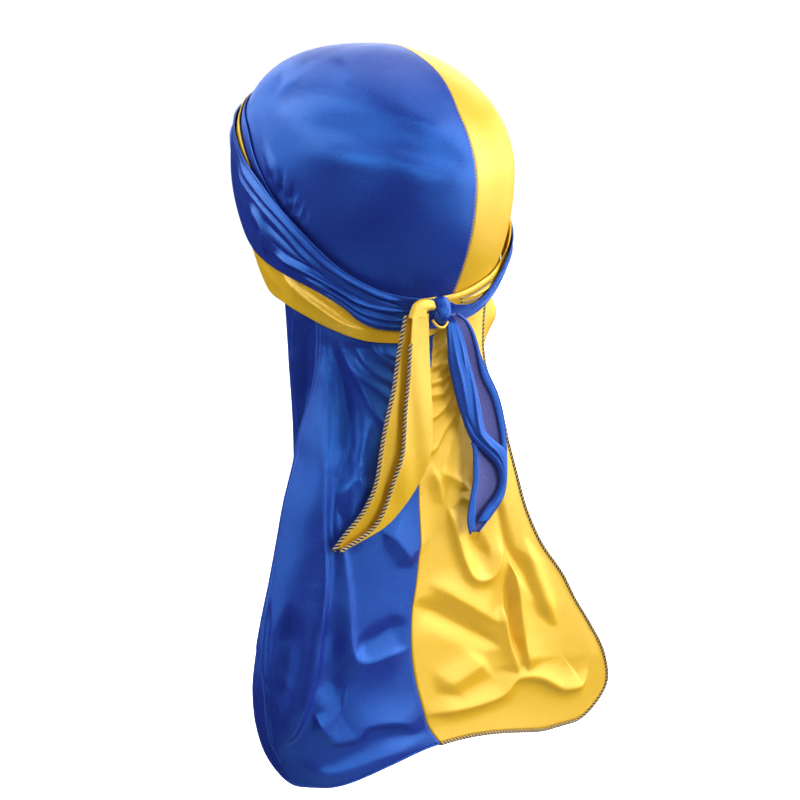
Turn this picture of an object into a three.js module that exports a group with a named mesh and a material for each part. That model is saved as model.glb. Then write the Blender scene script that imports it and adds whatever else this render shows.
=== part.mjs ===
// A two-colour durag tied on as it is worn: blue on the wearer's left, yellow on the right.
// Millimetres, +Z up. The wearer faces -Y and the wearer's left is +X.
// The origin is the middle of the hollow for the head, at the head's widest level.
// Angles are degrees round the head: 0 is the back of the head, 90 the wearer's left, 180 the forehead.
import * as THREE from "three";
import { mergeVertices } from "three/addons/utils/BufferGeometryUtils.js";

// Driving sizes of the hollow that the cap fits
const HEAD = {
  halfWidth: 78,
  halfLength: 97,
  browLength: 94,
  rise: 75,
  leanForward: 1,
  napeRound: 1.95,
  browRound: 2.6,
  sideTuck: 160,
  napeTuck: 104,
  browTuck: 220,
  hangLevel: 72,
  hangBlend: 6,
};

// Cloth and clearances
const WALL = 1;
const GAP = 0.3;
// How far a flat facet may dip below the curve that it follows
const FACET_DIP = 0.25;
const REST = GAP + FACET_DIP;
const HEM_RADIUS = 1.1;
const HEM_ALLOWANCE = 2 * HEM_RADIUS + GAP;

// Cap, its neck skirt, and the two bands sewn along its front edge
const CAP = { dip: 70, skirtDrop: 178, skirtTaper: 0.06, taperLength: 100, skirtFront: 88, backDrop: 120, backEnds: 66 };
const SKIRT_FLARE = { height: 8, angle: 56, level: -90, spread: 12, length: 15, fadeIn: 4 };

// Wraps: dip is how far below the widest level they pass at the nape
const WRAP = { dip: 95, bluePleat: 1.1, bluePleats: 3, yellowPleat: 0.6, yellowPleats: 1.5 };

// Long tail: reach is its half spread, drop its length, and hang how far behind the origin it hangs,
// as a share of the head's half length
const TAIL = { reach: 130, hang: 0.732, drop: 290, top: 74, tuck: 5 };
const TAIL_DEPTH = TAIL.hang * HEAD.halfLength;
const TAIL_BEND = { left: { full: 0.75, inset: 0 }, right: { full: 0.6, inset: 0.3 } };
const TAIL_CORNER = { start: 0.78, rise: 0.085, seamShare: 0.985, leftSag: 0.034, rightSag: 0.045, sagEnd: 0.55 };
// Shares of the drop where the tail leaves the head, where its folds are full and where its own sections start
const RING_END = 0.08;
const FOLDS_FULL = 0.12;
const SECTION_START = 0.3;

// Knot and hanging ends
const KNOT = { angle: 11.5, level: -74, halfWidth: 5.5, halfDepth: 5.5, halfHeight: 8.5, ribs: 6, rib: 0.7 };
const TIE_YELLOW = { length: 140, fold: 2.2, loop: 24.4, loopDepth: 2.8, arcRadius: 0.9 };
const TIE_BLUE = { length: 146, pocket: 3.5, pocketFrom: 40, pocketWidth: 20 };

const COLOURS = { blue: 0x1f49b4, yellow: 0xf6c51c, twist: 0xb9a24c };

// Front edge of the cap by angle from the back, as a share of CAP.dip
const CAP_EDGE = [
  { angle: 0, level: -1.0 },
  { angle: 88, level: -1.0 },
  { angle: 96, level: -0.89 },
  { angle: 101, level: -0.71 },
  { angle: 108, level: -0.47 },
  { angle: 115, level: -0.29 },
  { angle: 124, level: -0.07 },
  { angle: 132, level: 0.08 },
  { angle: 150, level: 0.11 },
  { angle: 180, level: 0.03 },
];

// Bands sewn along the cap's front edge, upper and lower edge as shares of CAP.dip
const BAND_EDGE = [
  { angle: 40, top: -0.86, bottom: -0.97 },
  { angle: 66, top: -0.66, bottom: -0.93 },
  { angle: 80, top: -0.33, bottom: -0.72 },
  { angle: 89, top: -0.13, bottom: -0.5 },
  { angle: 97, top: 0.06, bottom: -0.32 },
  { angle: 110, top: 0.36, bottom: -0.04 },
  { angle: 122, top: 0.48, bottom: 0.14 },
  { angle: 135, top: 0.57, bottom: 0.25 },
  { angle: 150, top: 0.62, bottom: 0.3 },
  { angle: 180, top: 0.63, bottom: 0.3 },
];

// Edges of the two wraps round the whole head, as shares of WRAP.dip
const BLUE_WRAP = [
  { angle: 0, top: -0.76, bottom: -0.9 },
  { angle: 8, top: -0.71, bottom: -0.915 },
  { angle: 26, top: -0.675, bottom: -0.915 },
  { angle: 38, top: -0.63, bottom: -0.895 },
  { angle: 46, top: -0.58, bottom: -0.845 },
  { angle: 53, top: -0.525, bottom: -0.76 },
  { angle: 61, top: -0.44, bottom: -0.695 },
  { angle: 72, top: -0.295, bottom: -0.63 },
  { angle: 83, top: -0.15, bottom: -0.58 },
  { angle: 94, top: -0.01, bottom: -0.525 },
  { angle: 105, top: 0.095, bottom: -0.43 },
  { angle: 115, top: 0.19, bottom: -0.25 },
  { angle: 124, top: 0.26, bottom: -0.085 },
  { angle: 132, top: 0.315, bottom: 0.04 },
  { angle: 150, top: 0.365, bottom: 0.105 },
  { angle: 180, top: 0.345, bottom: 0.085 },
  { angle: 210, top: 0.27, bottom: 0.02 },
  { angle: 230, top: 0.19, bottom: -0.065 },
  { angle: 250, top: 0.065, bottom: -0.17 },
  { angle: 270, top: -0.105, bottom: -0.335 },
  { angle: 290, top: -0.275, bottom: -0.485 },
  { angle: 305, top: -0.38, bottom: -0.59 },
  { angle: 318, top: -0.475, bottom: -0.655 },
  { angle: 330, top: -0.63, bottom: -0.78 },
  { angle: 340, top: -0.745, bottom: -0.84 },
  { angle: 350, top: -0.78, bottom: -0.875 },
  { angle: 360, top: -0.76, bottom: -0.9 },
];
const YELLOW_WRAP = [
  { angle: 0, top: -0.705, bottom: -0.86 },
  { angle: 8, top: -0.71, bottom: -0.95 },
  { angle: 26, top: -0.715, bottom: -1.0 },
  { angle: 40, top: -0.67, bottom: -0.99 },
  { angle: 50, top: -0.6, bottom: -0.96 },
  { angle: 62, top: -0.5, bottom: -0.905 },
  { angle: 72, top: -0.38, bottom: -0.855 },
  { angle: 86, top: -0.2, bottom: -0.79 },
  { angle: 96, top: -0.06, bottom: -0.735 },
  { angle: 101, top: 0.02, bottom: -0.63 },
  { angle: 106, top: 0.105, bottom: -0.465 },
  { angle: 116, top: 0.23, bottom: -0.2 },
  { angle: 124, top: 0.3, bottom: -0.065 },
  { angle: 132, top: 0.37, bottom: 0.065 },
  { angle: 150, top: 0.43, bottom: 0.145 },
  { angle: 180, top: 0.4, bottom: 0.125 },
  { angle: 210, top: 0.38, bottom: 0.085 },
  { angle: 230, top: 0.315, bottom: 0 },
  { angle: 250, top: 0.18, bottom: -0.125 },
  { angle: 270, top: 0, bottom: -0.295 },
  { angle: 290, top: -0.21, bottom: -0.475 },
  { angle: 305, top: -0.335, bottom: -0.57 },
  { angle: 315, top: -0.44, bottom: -0.64 },
  { angle: 322, top: -0.555, bottom: -0.71 },
  { angle: 333, top: -0.62, bottom: -0.765 },
  { angle: 342, top: -0.65, bottom: -0.79 },
  { angle: 353, top: -0.69, bottom: -0.79 },
  { angle: 360, top: -0.705, bottom: -0.86 },
];

// Level sections of the tail: share of the drop, then where its left hem, seam and right hem are.
// X columns are shares of TAIL.reach, Y columns shares of TAIL_DEPTH.
const TAIL_ROWS = [
  { share: 0, leftX: 0.5, leftY: 0.43, seamX: 0.01, seamY: 1.01, rightX: 0.26, rightY: 0.86 },
  { share: 0.06, leftX: 0.51, leftY: 0.4, seamX: 0.02, seamY: 1.01, rightX: 0.3, rightY: 0.85 },
  { share: 0.14, leftX: 0.52, leftY: 0.36, seamX: 0.06, seamY: 1.0, rightX: 0.355, rightY: 0.85 },
  { share: 0.23, leftX: 0.55, leftY: 0.31, seamX: 0.115, seamY: 1.0, rightX: 0.39, rightY: 0.875 },
  { share: 0.32, leftX: 0.6, leftY: 0.31, seamX: 0.155, seamY: 1.0, rightX: 0.42, rightY: 0.93 },
  { share: 0.41, leftX: 0.68, leftY: 0.33, seamX: 0.165, seamY: 0.99, rightX: 0.465, rightY: 0.98 },
  { share: 0.49, leftX: 0.73, leftY: 0.34, seamX: 0.16, seamY: 0.99, rightX: 0.515, rightY: 1.01 },
  { share: 0.58, leftX: 0.79, leftY: 0.36, seamX: 0.175, seamY: 0.99, rightX: 0.61, rightY: 1.04 },
  { share: 0.66, leftX: 0.84, leftY: 0.36, seamX: 0.21, seamY: 1.0, rightX: 0.74, rightY: 1.06 },
  { share: 0.73, leftX: 0.875, leftY: 0.36, seamX: 0.22, seamY: 1.01, rightX: 0.83, rightY: 1.07 },
  { share: 0.8, leftX: 0.9, leftY: 0.37, seamX: 0.2, seamY: 1.01, rightX: 0.93, rightY: 1.09 },
  { share: 0.87, leftX: 0.89, leftY: 0.37, seamX: 0.16, seamY: 1.01, rightX: 1.015, rightY: 1.11 },
  { share: 0.94, leftX: 0.855, leftY: 0.39, seamX: 0.1, seamY: 1.01, rightX: 1.05, rightY: 1.11 },
  { share: 1.02, leftX: 0.79, leftY: 0.43, seamX: -0.04, seamY: 1.03, rightX: 1.0, rightY: 1.1 },
];

// Folds of the tail, each along a bent line from its start over a middle to its end.
// Across runs from 0 at the seam to 1 at the hem, down is a share of the drop,
// wide a share of the reach, high a share of the depth (less than 0 for a hollow).
const LEFT_FOLDS = [
  { start: [0.93, 0.13], middle: [0.62, 0.42], end: [0.55, 0.74], wide: 0.09, high: 0.12 },
  { start: [0.55, 0.74], middle: [0.58, 0.84], end: [0.86, 0.93], wide: 0.08, high: 0.09 },
  { start: [0.6, 0.34], middle: [0.4, 0.54], end: [0.25, 0.77], wide: 0.08, high: 0.07 },
  { start: [0.82, 0.93], middle: [0.45, 0.93], end: [0.02, 0.92], wide: 0.08, high: 0.05 },
  { start: [0.42, 0.62], middle: [0.4, 0.76], end: [0.42, 0.86], wide: 0.1, high: -0.08 },
  { start: [0.74, 0.62], middle: [0.72, 0.74], end: [0.76, 0.85], wide: 0.09, high: -0.07 },
  { start: [0.83, 0.09], middle: [0.62, 0.14], end: [0.3, 0.18], wide: 0.08, high: 0.05 },
];
const RIGHT_FOLDS = [
  { start: [0.5, 0.54], middle: [0.38, 0.72], end: [0.33, 0.9], wide: 0.09, high: 0.08 },
  { start: [0.1, 0.46], middle: [0.2, 0.6], end: [0.32, 0.64], wide: 0.09, high: 0.06 },
  { start: [0.0, 0.92], middle: [0.2, 0.925], end: [0.35, 0.9], wide: 0.08, high: 0.05 },
  { start: [0.35, 0.9], middle: [0.52, 0.96], end: [0.75, 0.9], wide: 0.08, high: 0.05 },
  { start: [0.02, 0.66], middle: [0.16, 0.74], end: [0.3, 0.8], wide: 0.11, high: -0.07 },
  { start: [0.6, 0.7], middle: [0.56, 0.8], end: [0.55, 0.88], wide: 0.1, high: -0.06 },
  { start: [0.05, 0.22], middle: [0.4, 0.2], end: [0.8, 0.16], wide: 0.08, high: 0.04 },
];

// The thin arc under the knot, by its angle round the knot's middle, and how far it bows out
const ARC_TURN = { from: 228, to: 330, out: 1.5 };

// Loop of the yellow end beside the knot, as shares of TIE_YELLOW.loop from the knot's middle.
// Turn is the way that a section faces, from upright at the knot to level at the end's top.
const LOOP_ROWS = [
  { share: 0, x: 0.266, z: 0.15, half: 0.125, turn: 90 },
  { share: 0.33, x: 0.47, z: 0.185, half: 0.17, turn: 70 },
  { share: 0.66, x: 0.635, z: 0.12, half: 0.23, turn: 35 },
  { share: 1, x: 0.71, z: -0.02, half: 0.285, turn: 0 },
];

// Hanging ends: drop, X and Y as shares of each end's length, from the knot's middle
const YELLOW_END_ROWS = [
  { drop: 0.006, fold: 0.072, back: 0.174, front: 0.13, y: -0.019 },
  { drop: 0.145, fold: 0.059, back: 0.2, front: 0.132, y: -0.029 },
  { drop: 0.29, fold: 0.043, back: 0.22, front: 0.144, y: -0.036 },
  { drop: 0.43, fold: 0.026, back: 0.253, front: 0.163, y: -0.043 },
  { drop: 0.6, fold: 0.019, back: 0.278, front: 0.175, y: -0.056 },
  { drop: 0.74, fold: 0.062, back: 0.302, front: 0.219, y: -0.071 },
  { drop: 0.85, fold: 0.146, back: 0.351, front: 0.259, y: -0.089 },
  { drop: 0.93, fold: 0.236, back: 0.429, front: 0.32, y: -0.106 },
  { drop: 1.0, fold: 0.44, back: 0.482, front: 0.47, y: -0.125 },
];
const BLUE_END_ROWS = [
  { drop: 0.027, left: -0.0405, right: -0.099, y: -0.006 },
  { drop: 0.06, left: -0.053, right: -0.164, y: -0.022 },
  { drop: 0.1, left: -0.054, right: -0.194, y: -0.025 },
  { drop: 0.15, left: -0.06, right: -0.227, y: -0.027 },
  { drop: 0.235, left: -0.071, right: -0.262, y: -0.029 },
  { drop: 0.32, left: -0.093, right: -0.301, y: -0.03 },
  { drop: 0.415, left: -0.12, right: -0.343, y: -0.031 },
  { drop: 0.525, left: -0.162, right: -0.375, y: -0.033 },
  { drop: 0.635, left: -0.213, right: -0.39, y: -0.033 },
  { drop: 0.765, left: -0.215, right: -0.394, y: -0.033 },
  { drop: 0.87, left: -0.193, right: -0.375, y: -0.033 },
  { drop: 0.94, left: -0.184, right: -0.31, y: -0.033 },
  { drop: 1.0, left: -0.197, right: -0.24, y: -0.033 },
];

const mix = (a, b, t) => a + (b - a) * t;
const clamp01 = (t) => Math.min(1, Math.max(0, t));
const smooth = (t) => clamp01(t) ** 2 * (3 - 2 * clamp01(t));
const bell = (t) => Math.exp(-t * t);
const radians = (degrees) => THREE.MathUtils.degToRad(degrees);
const steps = (count) => Array.from({ length: count + 1 }, (_, k) => k / count);

// Reads a table column between its rows, with a smooth curve through them
function lookup(rows, key, at, column) {
  const last = rows.length - 1;
  let k = rows.findIndex((row) => row[key] > at) - 1;
  if (k < 0) k = at < rows[0][key] ? 0 : last - 1;
  const [p, a, b, q] = [k - 1, k, k + 1, k + 2].map((i) => rows[Math.min(last, Math.max(0, i))]);
  const t = clamp01((at - a[key]) / (b[key] - a[key]));
  const slope = (low, high) => (high[key] > low[key] ? (high[column] - low[column]) / (high[key] - low[key]) : 0);
  const span = b[key] - a[key];
  const rise = b[column] - a[column];
  const limit = (s) => (s * rise <= 0 ? 0 : Math.sign(s) * Math.min(Math.abs(s * span), 3 * Math.abs(rise)));
  const m0 = limit(slope(p, b));
  const m1 = limit(slope(a, q));
  const t2 = t * t;
  const t3 = t2 * t;
  return (2 * t3 - 3 * t2 + 1) * a[column] + (t3 - 2 * t2 + t) * m0 + (3 * t2 - 2 * t3) * b[column] + (t3 - t2) * m1;
}

// Unit normal of a surface at (u, v), pointing away from the origin's vertical axis or up
function normalOf(surface, u, v) {
  const e = 1e-3;
  const du = surface(u + e, v).sub(surface(u - e, v));
  const dv = surface(u, v + e).sub(surface(u, v - e));
  return du.cross(dv).normalize();
}

// The head that the cap fits: below the widest level the nape tucks in, then the cloth hangs straight
function headPoint(angle, z, off = 0) {
  const a = radians(angle);
  const up = Math.min(1, Math.max(z, 0) / HEAD.rise);
  const round = mix(HEAD.napeRound, HEAD.browRound, smooth((1 - Math.cos(a)) / 2));
  const half = (z + HEAD.hangLevel) / 2;
  const low = Math.min(0, z < 0 ? half - HEAD.hangLevel + Math.hypot(half, HEAD.hangBlend) : 0);
  const dome = (1 - up ** round) ** (1 / round);
  const under = (tuck) => Math.sqrt(1 - (low / tuck) ** 2);
  const wide = HEAD.halfWidth * dome * under(HEAD.sideTuck);
  const atBack = Math.cos(a) > 0;
  const long = (atBack ? HEAD.halfLength : HEAD.browLength) * dome * under(atBack ? HEAD.napeTuck : HEAD.browTuck);
  const point = new THREE.Vector3(wide * Math.sin(a), long * Math.cos(a) - HEAD.leanForward * up * up, z);
  if (off === 0) return point;
  return point.addScaledVector(headNormal(angle, z), off);
}

function headNormal(angle, z) {
  const a = radians(angle);
  const up = Math.max(z, 0) / HEAD.rise;
  const e = 0.5;
  if (up > 0.999) return new THREE.Vector3(0, 0, 1);
  const along = headPoint(angle + e, z).sub(headPoint(angle - e, z));
  const down = headPoint(angle, z - e).sub(headPoint(angle, Math.min(z + e, HEAD.rise * 0.9999)));
  const normal = down.cross(along).normalize();
  const away = new THREE.Vector3(Math.sin(a), Math.cos(a), up);
  return normal.dot(away) < 0 ? normal.negate() : normal;
}

// A closed cloth shell from two equal grids of points, outer and inner.
// Cells can be left out, and wrapped joins the last column to the first.
function clothShell(outer, inner, { hasCell = () => true, wrapped = false } = {}) {
  const columns = outer.length;
  const rows = outer[0].length;
  const points = [];
  const index = (side, i, j) => side * columns * rows + (i % columns) * rows + j;
  for (const side of [outer, inner]) for (const column of side) points.push(...column);
  const cells = wrapped ? columns : columns - 1;
  const exists = (i, j) => {
    if (j < 0 || j >= rows - 1) return false;
    if (!wrapped && (i < 0 || i >= cells)) return false;
    return hasCell((i + columns) % columns, j);
  };
  const triangles = [];
  const quad = (a, b, c, d) => triangles.push([a, b, c], [a, c, d]);
  for (let i = 0; i < cells; i++) {
    for (let j = 0; j < rows - 1; j++) {
      if (!exists(i, j)) continue;
      const corners = [[i, j], [i + 1, j], [i + 1, j + 1], [i, j + 1]];
      const neighbours = [[i, j - 1], [i + 1, j], [i, j + 1], [i - 1, j]];
      const out = corners.map(([x, y]) => index(0, x, y));
      const back = corners.map(([x, y]) => index(1, x, y));
      quad(...out);
      quad(back[3], back[2], back[1], back[0]);
      neighbours.forEach(([x, y], k) => {
        const next = (k + 1) % 4;
        if (!exists(x, y)) quad(out[next], out[k], back[k], back[next]);
      });
    }
  }
  return solidFrom(points, triangles);
}

// Drops triangles that have shrunk to a line, and turns the whole solid outwards
function solidFrom(points, triangles) {
  const key = (p) => [p.x, p.y, p.z].map((c) => Math.round(c * 1e4)).join();
  const seen = new Map();
  const merged = [];
  const ids = points.map((p) => {
    const k = key(p);
    if (!seen.has(k)) {
      seen.set(k, merged.length);
      merged.push(p);
    }
    return seen.get(k);
  });
  const kept = triangles.map((t) => t.map((i) => ids[i])).filter(([a, b, c]) => a !== b && b !== c && c !== a);
  let volume = 0;
  const cross = new THREE.Vector3();
  for (const [a, b, c] of kept) volume += merged[a].dot(cross.crossVectors(merged[b], merged[c]));
  const faces = volume > 0 ? kept : kept.map(([a, b, c]) => [a, c, b]);
  const geometry = new THREE.BufferGeometry();
  geometry.setAttribute("position", new THREE.Float32BufferAttribute(merged.flatMap((p) => [p.x, p.y, p.z]), 3));
  geometry.setIndex(faces.flat());
  const clean = mergeVertices(geometry, 1e-4);
  clean.computeVertexNormals();
  return clean;
}

// Cloth of even thickness on a surface given by (u, v)
function sheetOn(surface, us, vs, options = {}) {
  const thick = options.wall ?? WALL;
  const place = (share) => us.map((u) => vs.map((v) => {
    const normal = (options.normal ?? ((a, b) => normalOf(surface, a, b)))(u, v);
    return surface(u, v).addScaledVector(normal, thick * share);
  }));
  return clothShell(place(0.5), place(-0.5), options);
}

// Round hem along a line of points
function hemAlong(points, radius, sides = 5) {
  const rings = points.map((point, k) => {
    const before = points[Math.max(0, k - 1)];
    const after = points[Math.min(points.length - 1, k + 1)];
    const tangent = after.clone().sub(before).normalize();
    const side = new THREE.Vector3(0, 1, 0).cross(tangent).normalize();
    const other = tangent.clone().cross(side);
    return Array.from({ length: sides }, (_, s) => {
      const turn = (s / sides) * 2 * Math.PI;
      return point.clone().addScaledVector(side, radius * Math.cos(turn)).addScaledVector(other, radius * Math.sin(turn));
    });
  });
  return ringLoft(rings);
}

// Closed solid through a row of rings, with flat ends
function ringLoft(rings) {
  const sides = rings[0].length;
  const triangles = [];
  rings.slice(1).forEach((_, k) => {
    for (let s = 0; s < sides; s++) {
      const n = (s + 1) % sides;
      const [a, b, c, d] = [k * sides + s, k * sides + n, (k + 1) * sides + n, (k + 1) * sides + s];
      triangles.push([a, b, c], [a, c, d]);
    }
  });
  const last = (rings.length - 1) * sides;
  for (let s = 1; s < sides - 1; s++) triangles.push([0, s + 1, s], [last, last + s, last + s + 1]);
  return solidFrom(rings.flat(), triangles);
}

// One half of the cap with its neck skirt; side is 1 on the wearer's left and -1 on the right
const CAP_DOME_ROWS = 11;
const CAP_SKIRT_ROWS = 6;
const SKIRT_ROW_BIAS = 1.6;
const CAP_ANGLES = [0, 12, 24, 36, 48, 60, 70, 80, 88, 92, 96, 101, 108, 115, 124, 132, 142, 156, 168, 180];

function skirtEnd(angle) {
  const share = smooth(angle / CAP.backEnds);
  return -mix(CAP.backDrop, CAP.skirtDrop, share);
}

function capHalf(side) {
  const fullRows = CAP_DOME_ROWS + CAP_SKIRT_ROWS;
  const skirtColumns = CAP_ANGLES.filter((angle) => angle < CAP.skirtFront).length;
  const place = (angle, row, off) => {
    const edge = lookup(CAP_EDGE, "angle", angle, "level") * CAP.dip;
    const tilt = Math.asin(Math.max(-1, edge / HEAD.rise));
    if (row <= CAP_DOME_ROWS) {
      const z = HEAD.rise * Math.sin(mix(Math.PI / 2, tilt, row / CAP_DOME_ROWS));
      return headPoint(side * angle, z, off);
    }
    const share = ((row - CAP_DOME_ROWS) / CAP_SKIRT_ROWS) ** SKIRT_ROW_BIAS;
    const z = mix(edge, Math.min(edge, skirtEnd(angle)), share);
    const taper = 1 - CAP.skirtTaper * smooth((edge - z) / CAP.taperLength);
    const flare = side < 0 ? SKIRT_FLARE.height : 0;
    const bulge = flare * bell((angle - SKIRT_FLARE.angle) / SKIRT_FLARE.spread)
      * bell((z - SKIRT_FLARE.level) / SKIRT_FLARE.length) * smooth(SKIRT_FLARE.fadeIn * share);
    const point = headPoint(side * angle, z, off + bulge);
    return new THREE.Vector3(point.x * taper, point.y * taper, z);
  };
  const grid = (off) => CAP_ANGLES.map((angle) => steps(fullRows).map((_, row) => {
    const point = place(angle, row, off);
    point.x = side * Math.max(GAP / 2, side * point.x);
    return point;
  }));
  const hasCell = (i, j) => j < CAP_DOME_ROWS || i < skirtColumns;
  return clothShell(grid(0), grid(-WALL), { hasCell });
}

// Pleated strap lying on the head at a given layer, from its table of edges
function pleat(share, count) {
  return Math.sin(Math.PI * clamp01(share)) ** 0.5 * (1 - Math.abs(((share * count) % 1) * 2 - 1));
}

function strapRing(rows, layer, { height, count }, angles, across, side = 1, dip = WRAP.dip) {
  const column = (angle, raise) => steps(across).map((share) => {
    const z = dip * mix(lookup(rows, "angle", angle, "bottom"), lookup(rows, "angle", angle, "top"), share);
    return headPoint(side * angle, z, layer + raise + height * pleat(share, count));
  });
  const wrapped = angles[0] === 0;
  const grid = (raise) => angles.map((angle) => column(angle, raise));
  return clothShell(grid(WALL), grid(0), { wrapped });
}

const LAYER = [REST, REST * 2 + WALL, REST * 3 + WALL * 2 + WRAP.yellowPleat];
const RING_STEPS = 48;
const ringAngles = steps(RING_STEPS).slice(0, -1).map((t) => t * 360);
const BAND_SEAM_ANGLE = 179.8;

function frontBand(side) {
  const first = side > 0 ? 74 : 42;
  const angles = steps(16).map((t) => mix(first, BAND_SEAM_ANGLE, t));
  return strapRing(BAND_EDGE, LAYER[0], { height: 0, count: 1 }, angles, 4, side, CAP.dip);
}

// Long tail: across is 0 at the seam and 1 at the hem, down is a share of the drop
function tailSection(side, across, down) {
  const read = (column) => lookup(TAIL_ROWS, "share", down, column);
  const edgeX = side > 0 ? read("leftX") : -read("rightX");
  const edgeY = read(side > 0 ? "leftY" : "rightY");
  const { full, inset } = side > 0 ? TAIL_BEND.left : TAIL_BEND.right;
  const seam = new THREE.Vector2(read("seamX") * TAIL.reach, read("seamY") * TAIL_DEPTH);
  const hem = new THREE.Vector2(edgeX * TAIL.reach, edgeY * TAIL_DEPTH);
  const nearSeam = new THREE.Vector2(mix(seam.x, hem.x, full), seam.y);
  const nearHem = new THREE.Vector2(mix(hem.x, seam.x, inset), mix(hem.y, seam.y, full));
  hem.lerp(nearHem, HEM_ALLOWANCE / hem.distanceTo(nearHem));
  return new THREE.CubicBezierCurve(seam, nearSeam, nearHem, hem).getPoint(across);
}

const TAIL_TOP_ANGLE = { left: 67, right: 29 };

// How far along itself a fold has already risen where it starts
const FOLD_ENDS = 0.1;

function foldHeight(folds, across, down) {
  const here = new THREE.Vector2(across * TAIL.reach, down * TAIL.drop);
  let height = 0;
  for (const fold of folds) {
    let nearest = Infinity;
    let along = 0;
    for (const t of steps(16)) {
      const bend = [0, 1].map((k) => mix(mix(fold.start[k], fold.middle[k], t), mix(fold.middle[k], fold.end[k], t), t));
      const distance = here.distanceTo(new THREE.Vector2(bend[0] * TAIL.reach, bend[1] * TAIL.drop));
      if (distance < nearest) {
        nearest = distance;
        along = t;
      }
    }
    const fade = Math.sin(Math.PI * mix(FOLD_ENDS, 1 - FOLD_ENDS, along));
    height += fold.high * TAIL_DEPTH * fade * bell(nearest / (fold.wide * TAIL.reach));
  }
  return height;
}

const foldsIn = (down) => smooth((down - RING_END) / (FOLDS_FULL - RING_END));

function tailSurface(side) {
  const folds = side > 0 ? LEFT_FOLDS : RIGHT_FOLDS;
  const flat = (across, down) => {
    const z = -TAIL.top - down * TAIL.drop;
    const top = side > 0 ? TAIL_TOP_ANGLE.left : TAIL_TOP_ANGLE.right;
    const ring = headPoint(side * across * top, z, REST + WALL / 2);
    const hung = tailSection(side, across, down);
    const share = smooth((down - RING_END) / (SECTION_START - RING_END));
    return new THREE.Vector3(mix(ring.x, hung.x, share), mix(ring.y, hung.y, share), z);
  };
  return (across, down) => {
    const u = clamp01(across);
    const normal = normalOf(flat, u, down).multiplyScalar(side);
    const point = flat(u, down).addScaledVector(normal, foldHeight(folds, u, down) * foldsIn(down));
    point.x += (side * GAP) / 2;
    return point;
  };
}

// How far down the bottom hem is, with its sag and its rounded corner
function tailEnd(side, across) {
  const corner = clamp01((across - TAIL_CORNER.start) / (1 - TAIL_CORNER.start));
  const sag = (side > 0 ? TAIL_CORNER.leftSag : TAIL_CORNER.rightSag) * smooth(across / TAIL_CORNER.sagEnd);
  const lift = TAIL_CORNER.rise * (1 - Math.sqrt(1 - corner * corner)) + HEM_ALLOWANCE / TAIL.drop;
  return TAIL_CORNER.seamShare + sag - lift;
}

const TAIL_COLUMNS = 19;
const TAIL_DOWN_ROWS = 24;
const TAIL_COLUMN_BIAS = 1.5;
const TAIL_ROW_BIAS = 1.25;
const tailAcross = steps(TAIL_COLUMNS).map((t) => 1 - (1 - t) ** TAIL_COLUMN_BIAS);
const tailStart = -TAIL.tuck / TAIL.drop;
const tailDown = (side, across, share) => mix(tailStart, tailEnd(side, across), share ** TAIL_ROW_BIAS);

function tailHalf(side) {
  const surface = tailSurface(side);
  return sheetOn((across, share) => surface(across, tailDown(side, across, share)), tailAcross, steps(TAIL_DOWN_ROWS), {
    normal: (across, share) => normalOf(surface, Math.min(0.999, Math.max(0.001, across)), tailDown(side, across, share)),
  });
}

function tailHem(side, startDown) {
  const surface = tailSurface(side);
  const shares = steps(TAIL_DOWN_ROWS).map((share) => tailDown(side, 1, share)).filter((d) => d > startDown + 0.01);
  const down = [startDown, ...shares].map((d) => [1, d]);
  const bottom = tailAcross.slice(0, -1).reverse().map((across) => [across, tailEnd(side, across)]);
  const line = [...down, ...bottom];
  const points = line.map(([across, d]) => surface(across, d));
  return hemAlong(points.map((point, k) => {
    const tangent = points[Math.min(points.length - 1, k + 1)].clone().sub(points[Math.max(0, k - 1)]).normalize();
    const [across, d] = line[k];
    const normal = normalOf(surface, Math.min(0.999, Math.max(0.001, across)), d);
    const outward = tangent.cross(normal).normalize();
    return point.clone().addScaledVector(outward, HEM_RADIUS + GAP);
  }), HEM_RADIUS);
}

// Knot at the nape, wound of ribbed cloth, resting on the blue wrap
const knotOff = LAYER[2] + WALL + WRAP.bluePleat + REST + KNOT.halfDepth;
const knotCentre = headPoint(KNOT.angle, KNOT.level, 0)
  .add(new THREE.Vector3(Math.sin(radians(KNOT.angle)), Math.cos(radians(KNOT.angle)), 0).multiplyScalar(knotOff));

function knotBody() {
  const around = 14;
  const cap = 0.92;
  const rings = steps(10).map((t) => {
    const lift = mix(-cap, cap, t);
    const waist = Math.sqrt(1 - lift * lift);
    return Array.from({ length: around }, (_, s) => {
      const turn = (s / around) * 2 * Math.PI;
      const rib = 1 + (KNOT.rib / KNOT.halfWidth) * Math.cos(KNOT.ribs * turn);
      return new THREE.Vector3(
        knotCentre.x + KNOT.halfWidth * waist * rib * Math.cos(turn),
        knotCentre.y + KNOT.halfDepth * waist * Math.sin(turn),
        knotCentre.z + KNOT.halfHeight * lift,
      );
    });
  });
  return ringLoft(rings);
}

function hangingEnd(rows, length, columns, place) {
  const surface = (share, across) => {
    const drop = mix(rows[0].drop, rows[rows.length - 1].drop, share);
    const read = (column) => lookup(rows, "drop", drop, column) * length;
    return place(read, across, drop * length).add(knotCentre);
  };
  return sheetOn(surface, steps(16), columns);
}

// Yellow end, folded lengthwise: back layer, rounded fold, then a narrower front layer
const END_COLUMNS = { back: 4, turn: 2, front: 3 };

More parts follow.
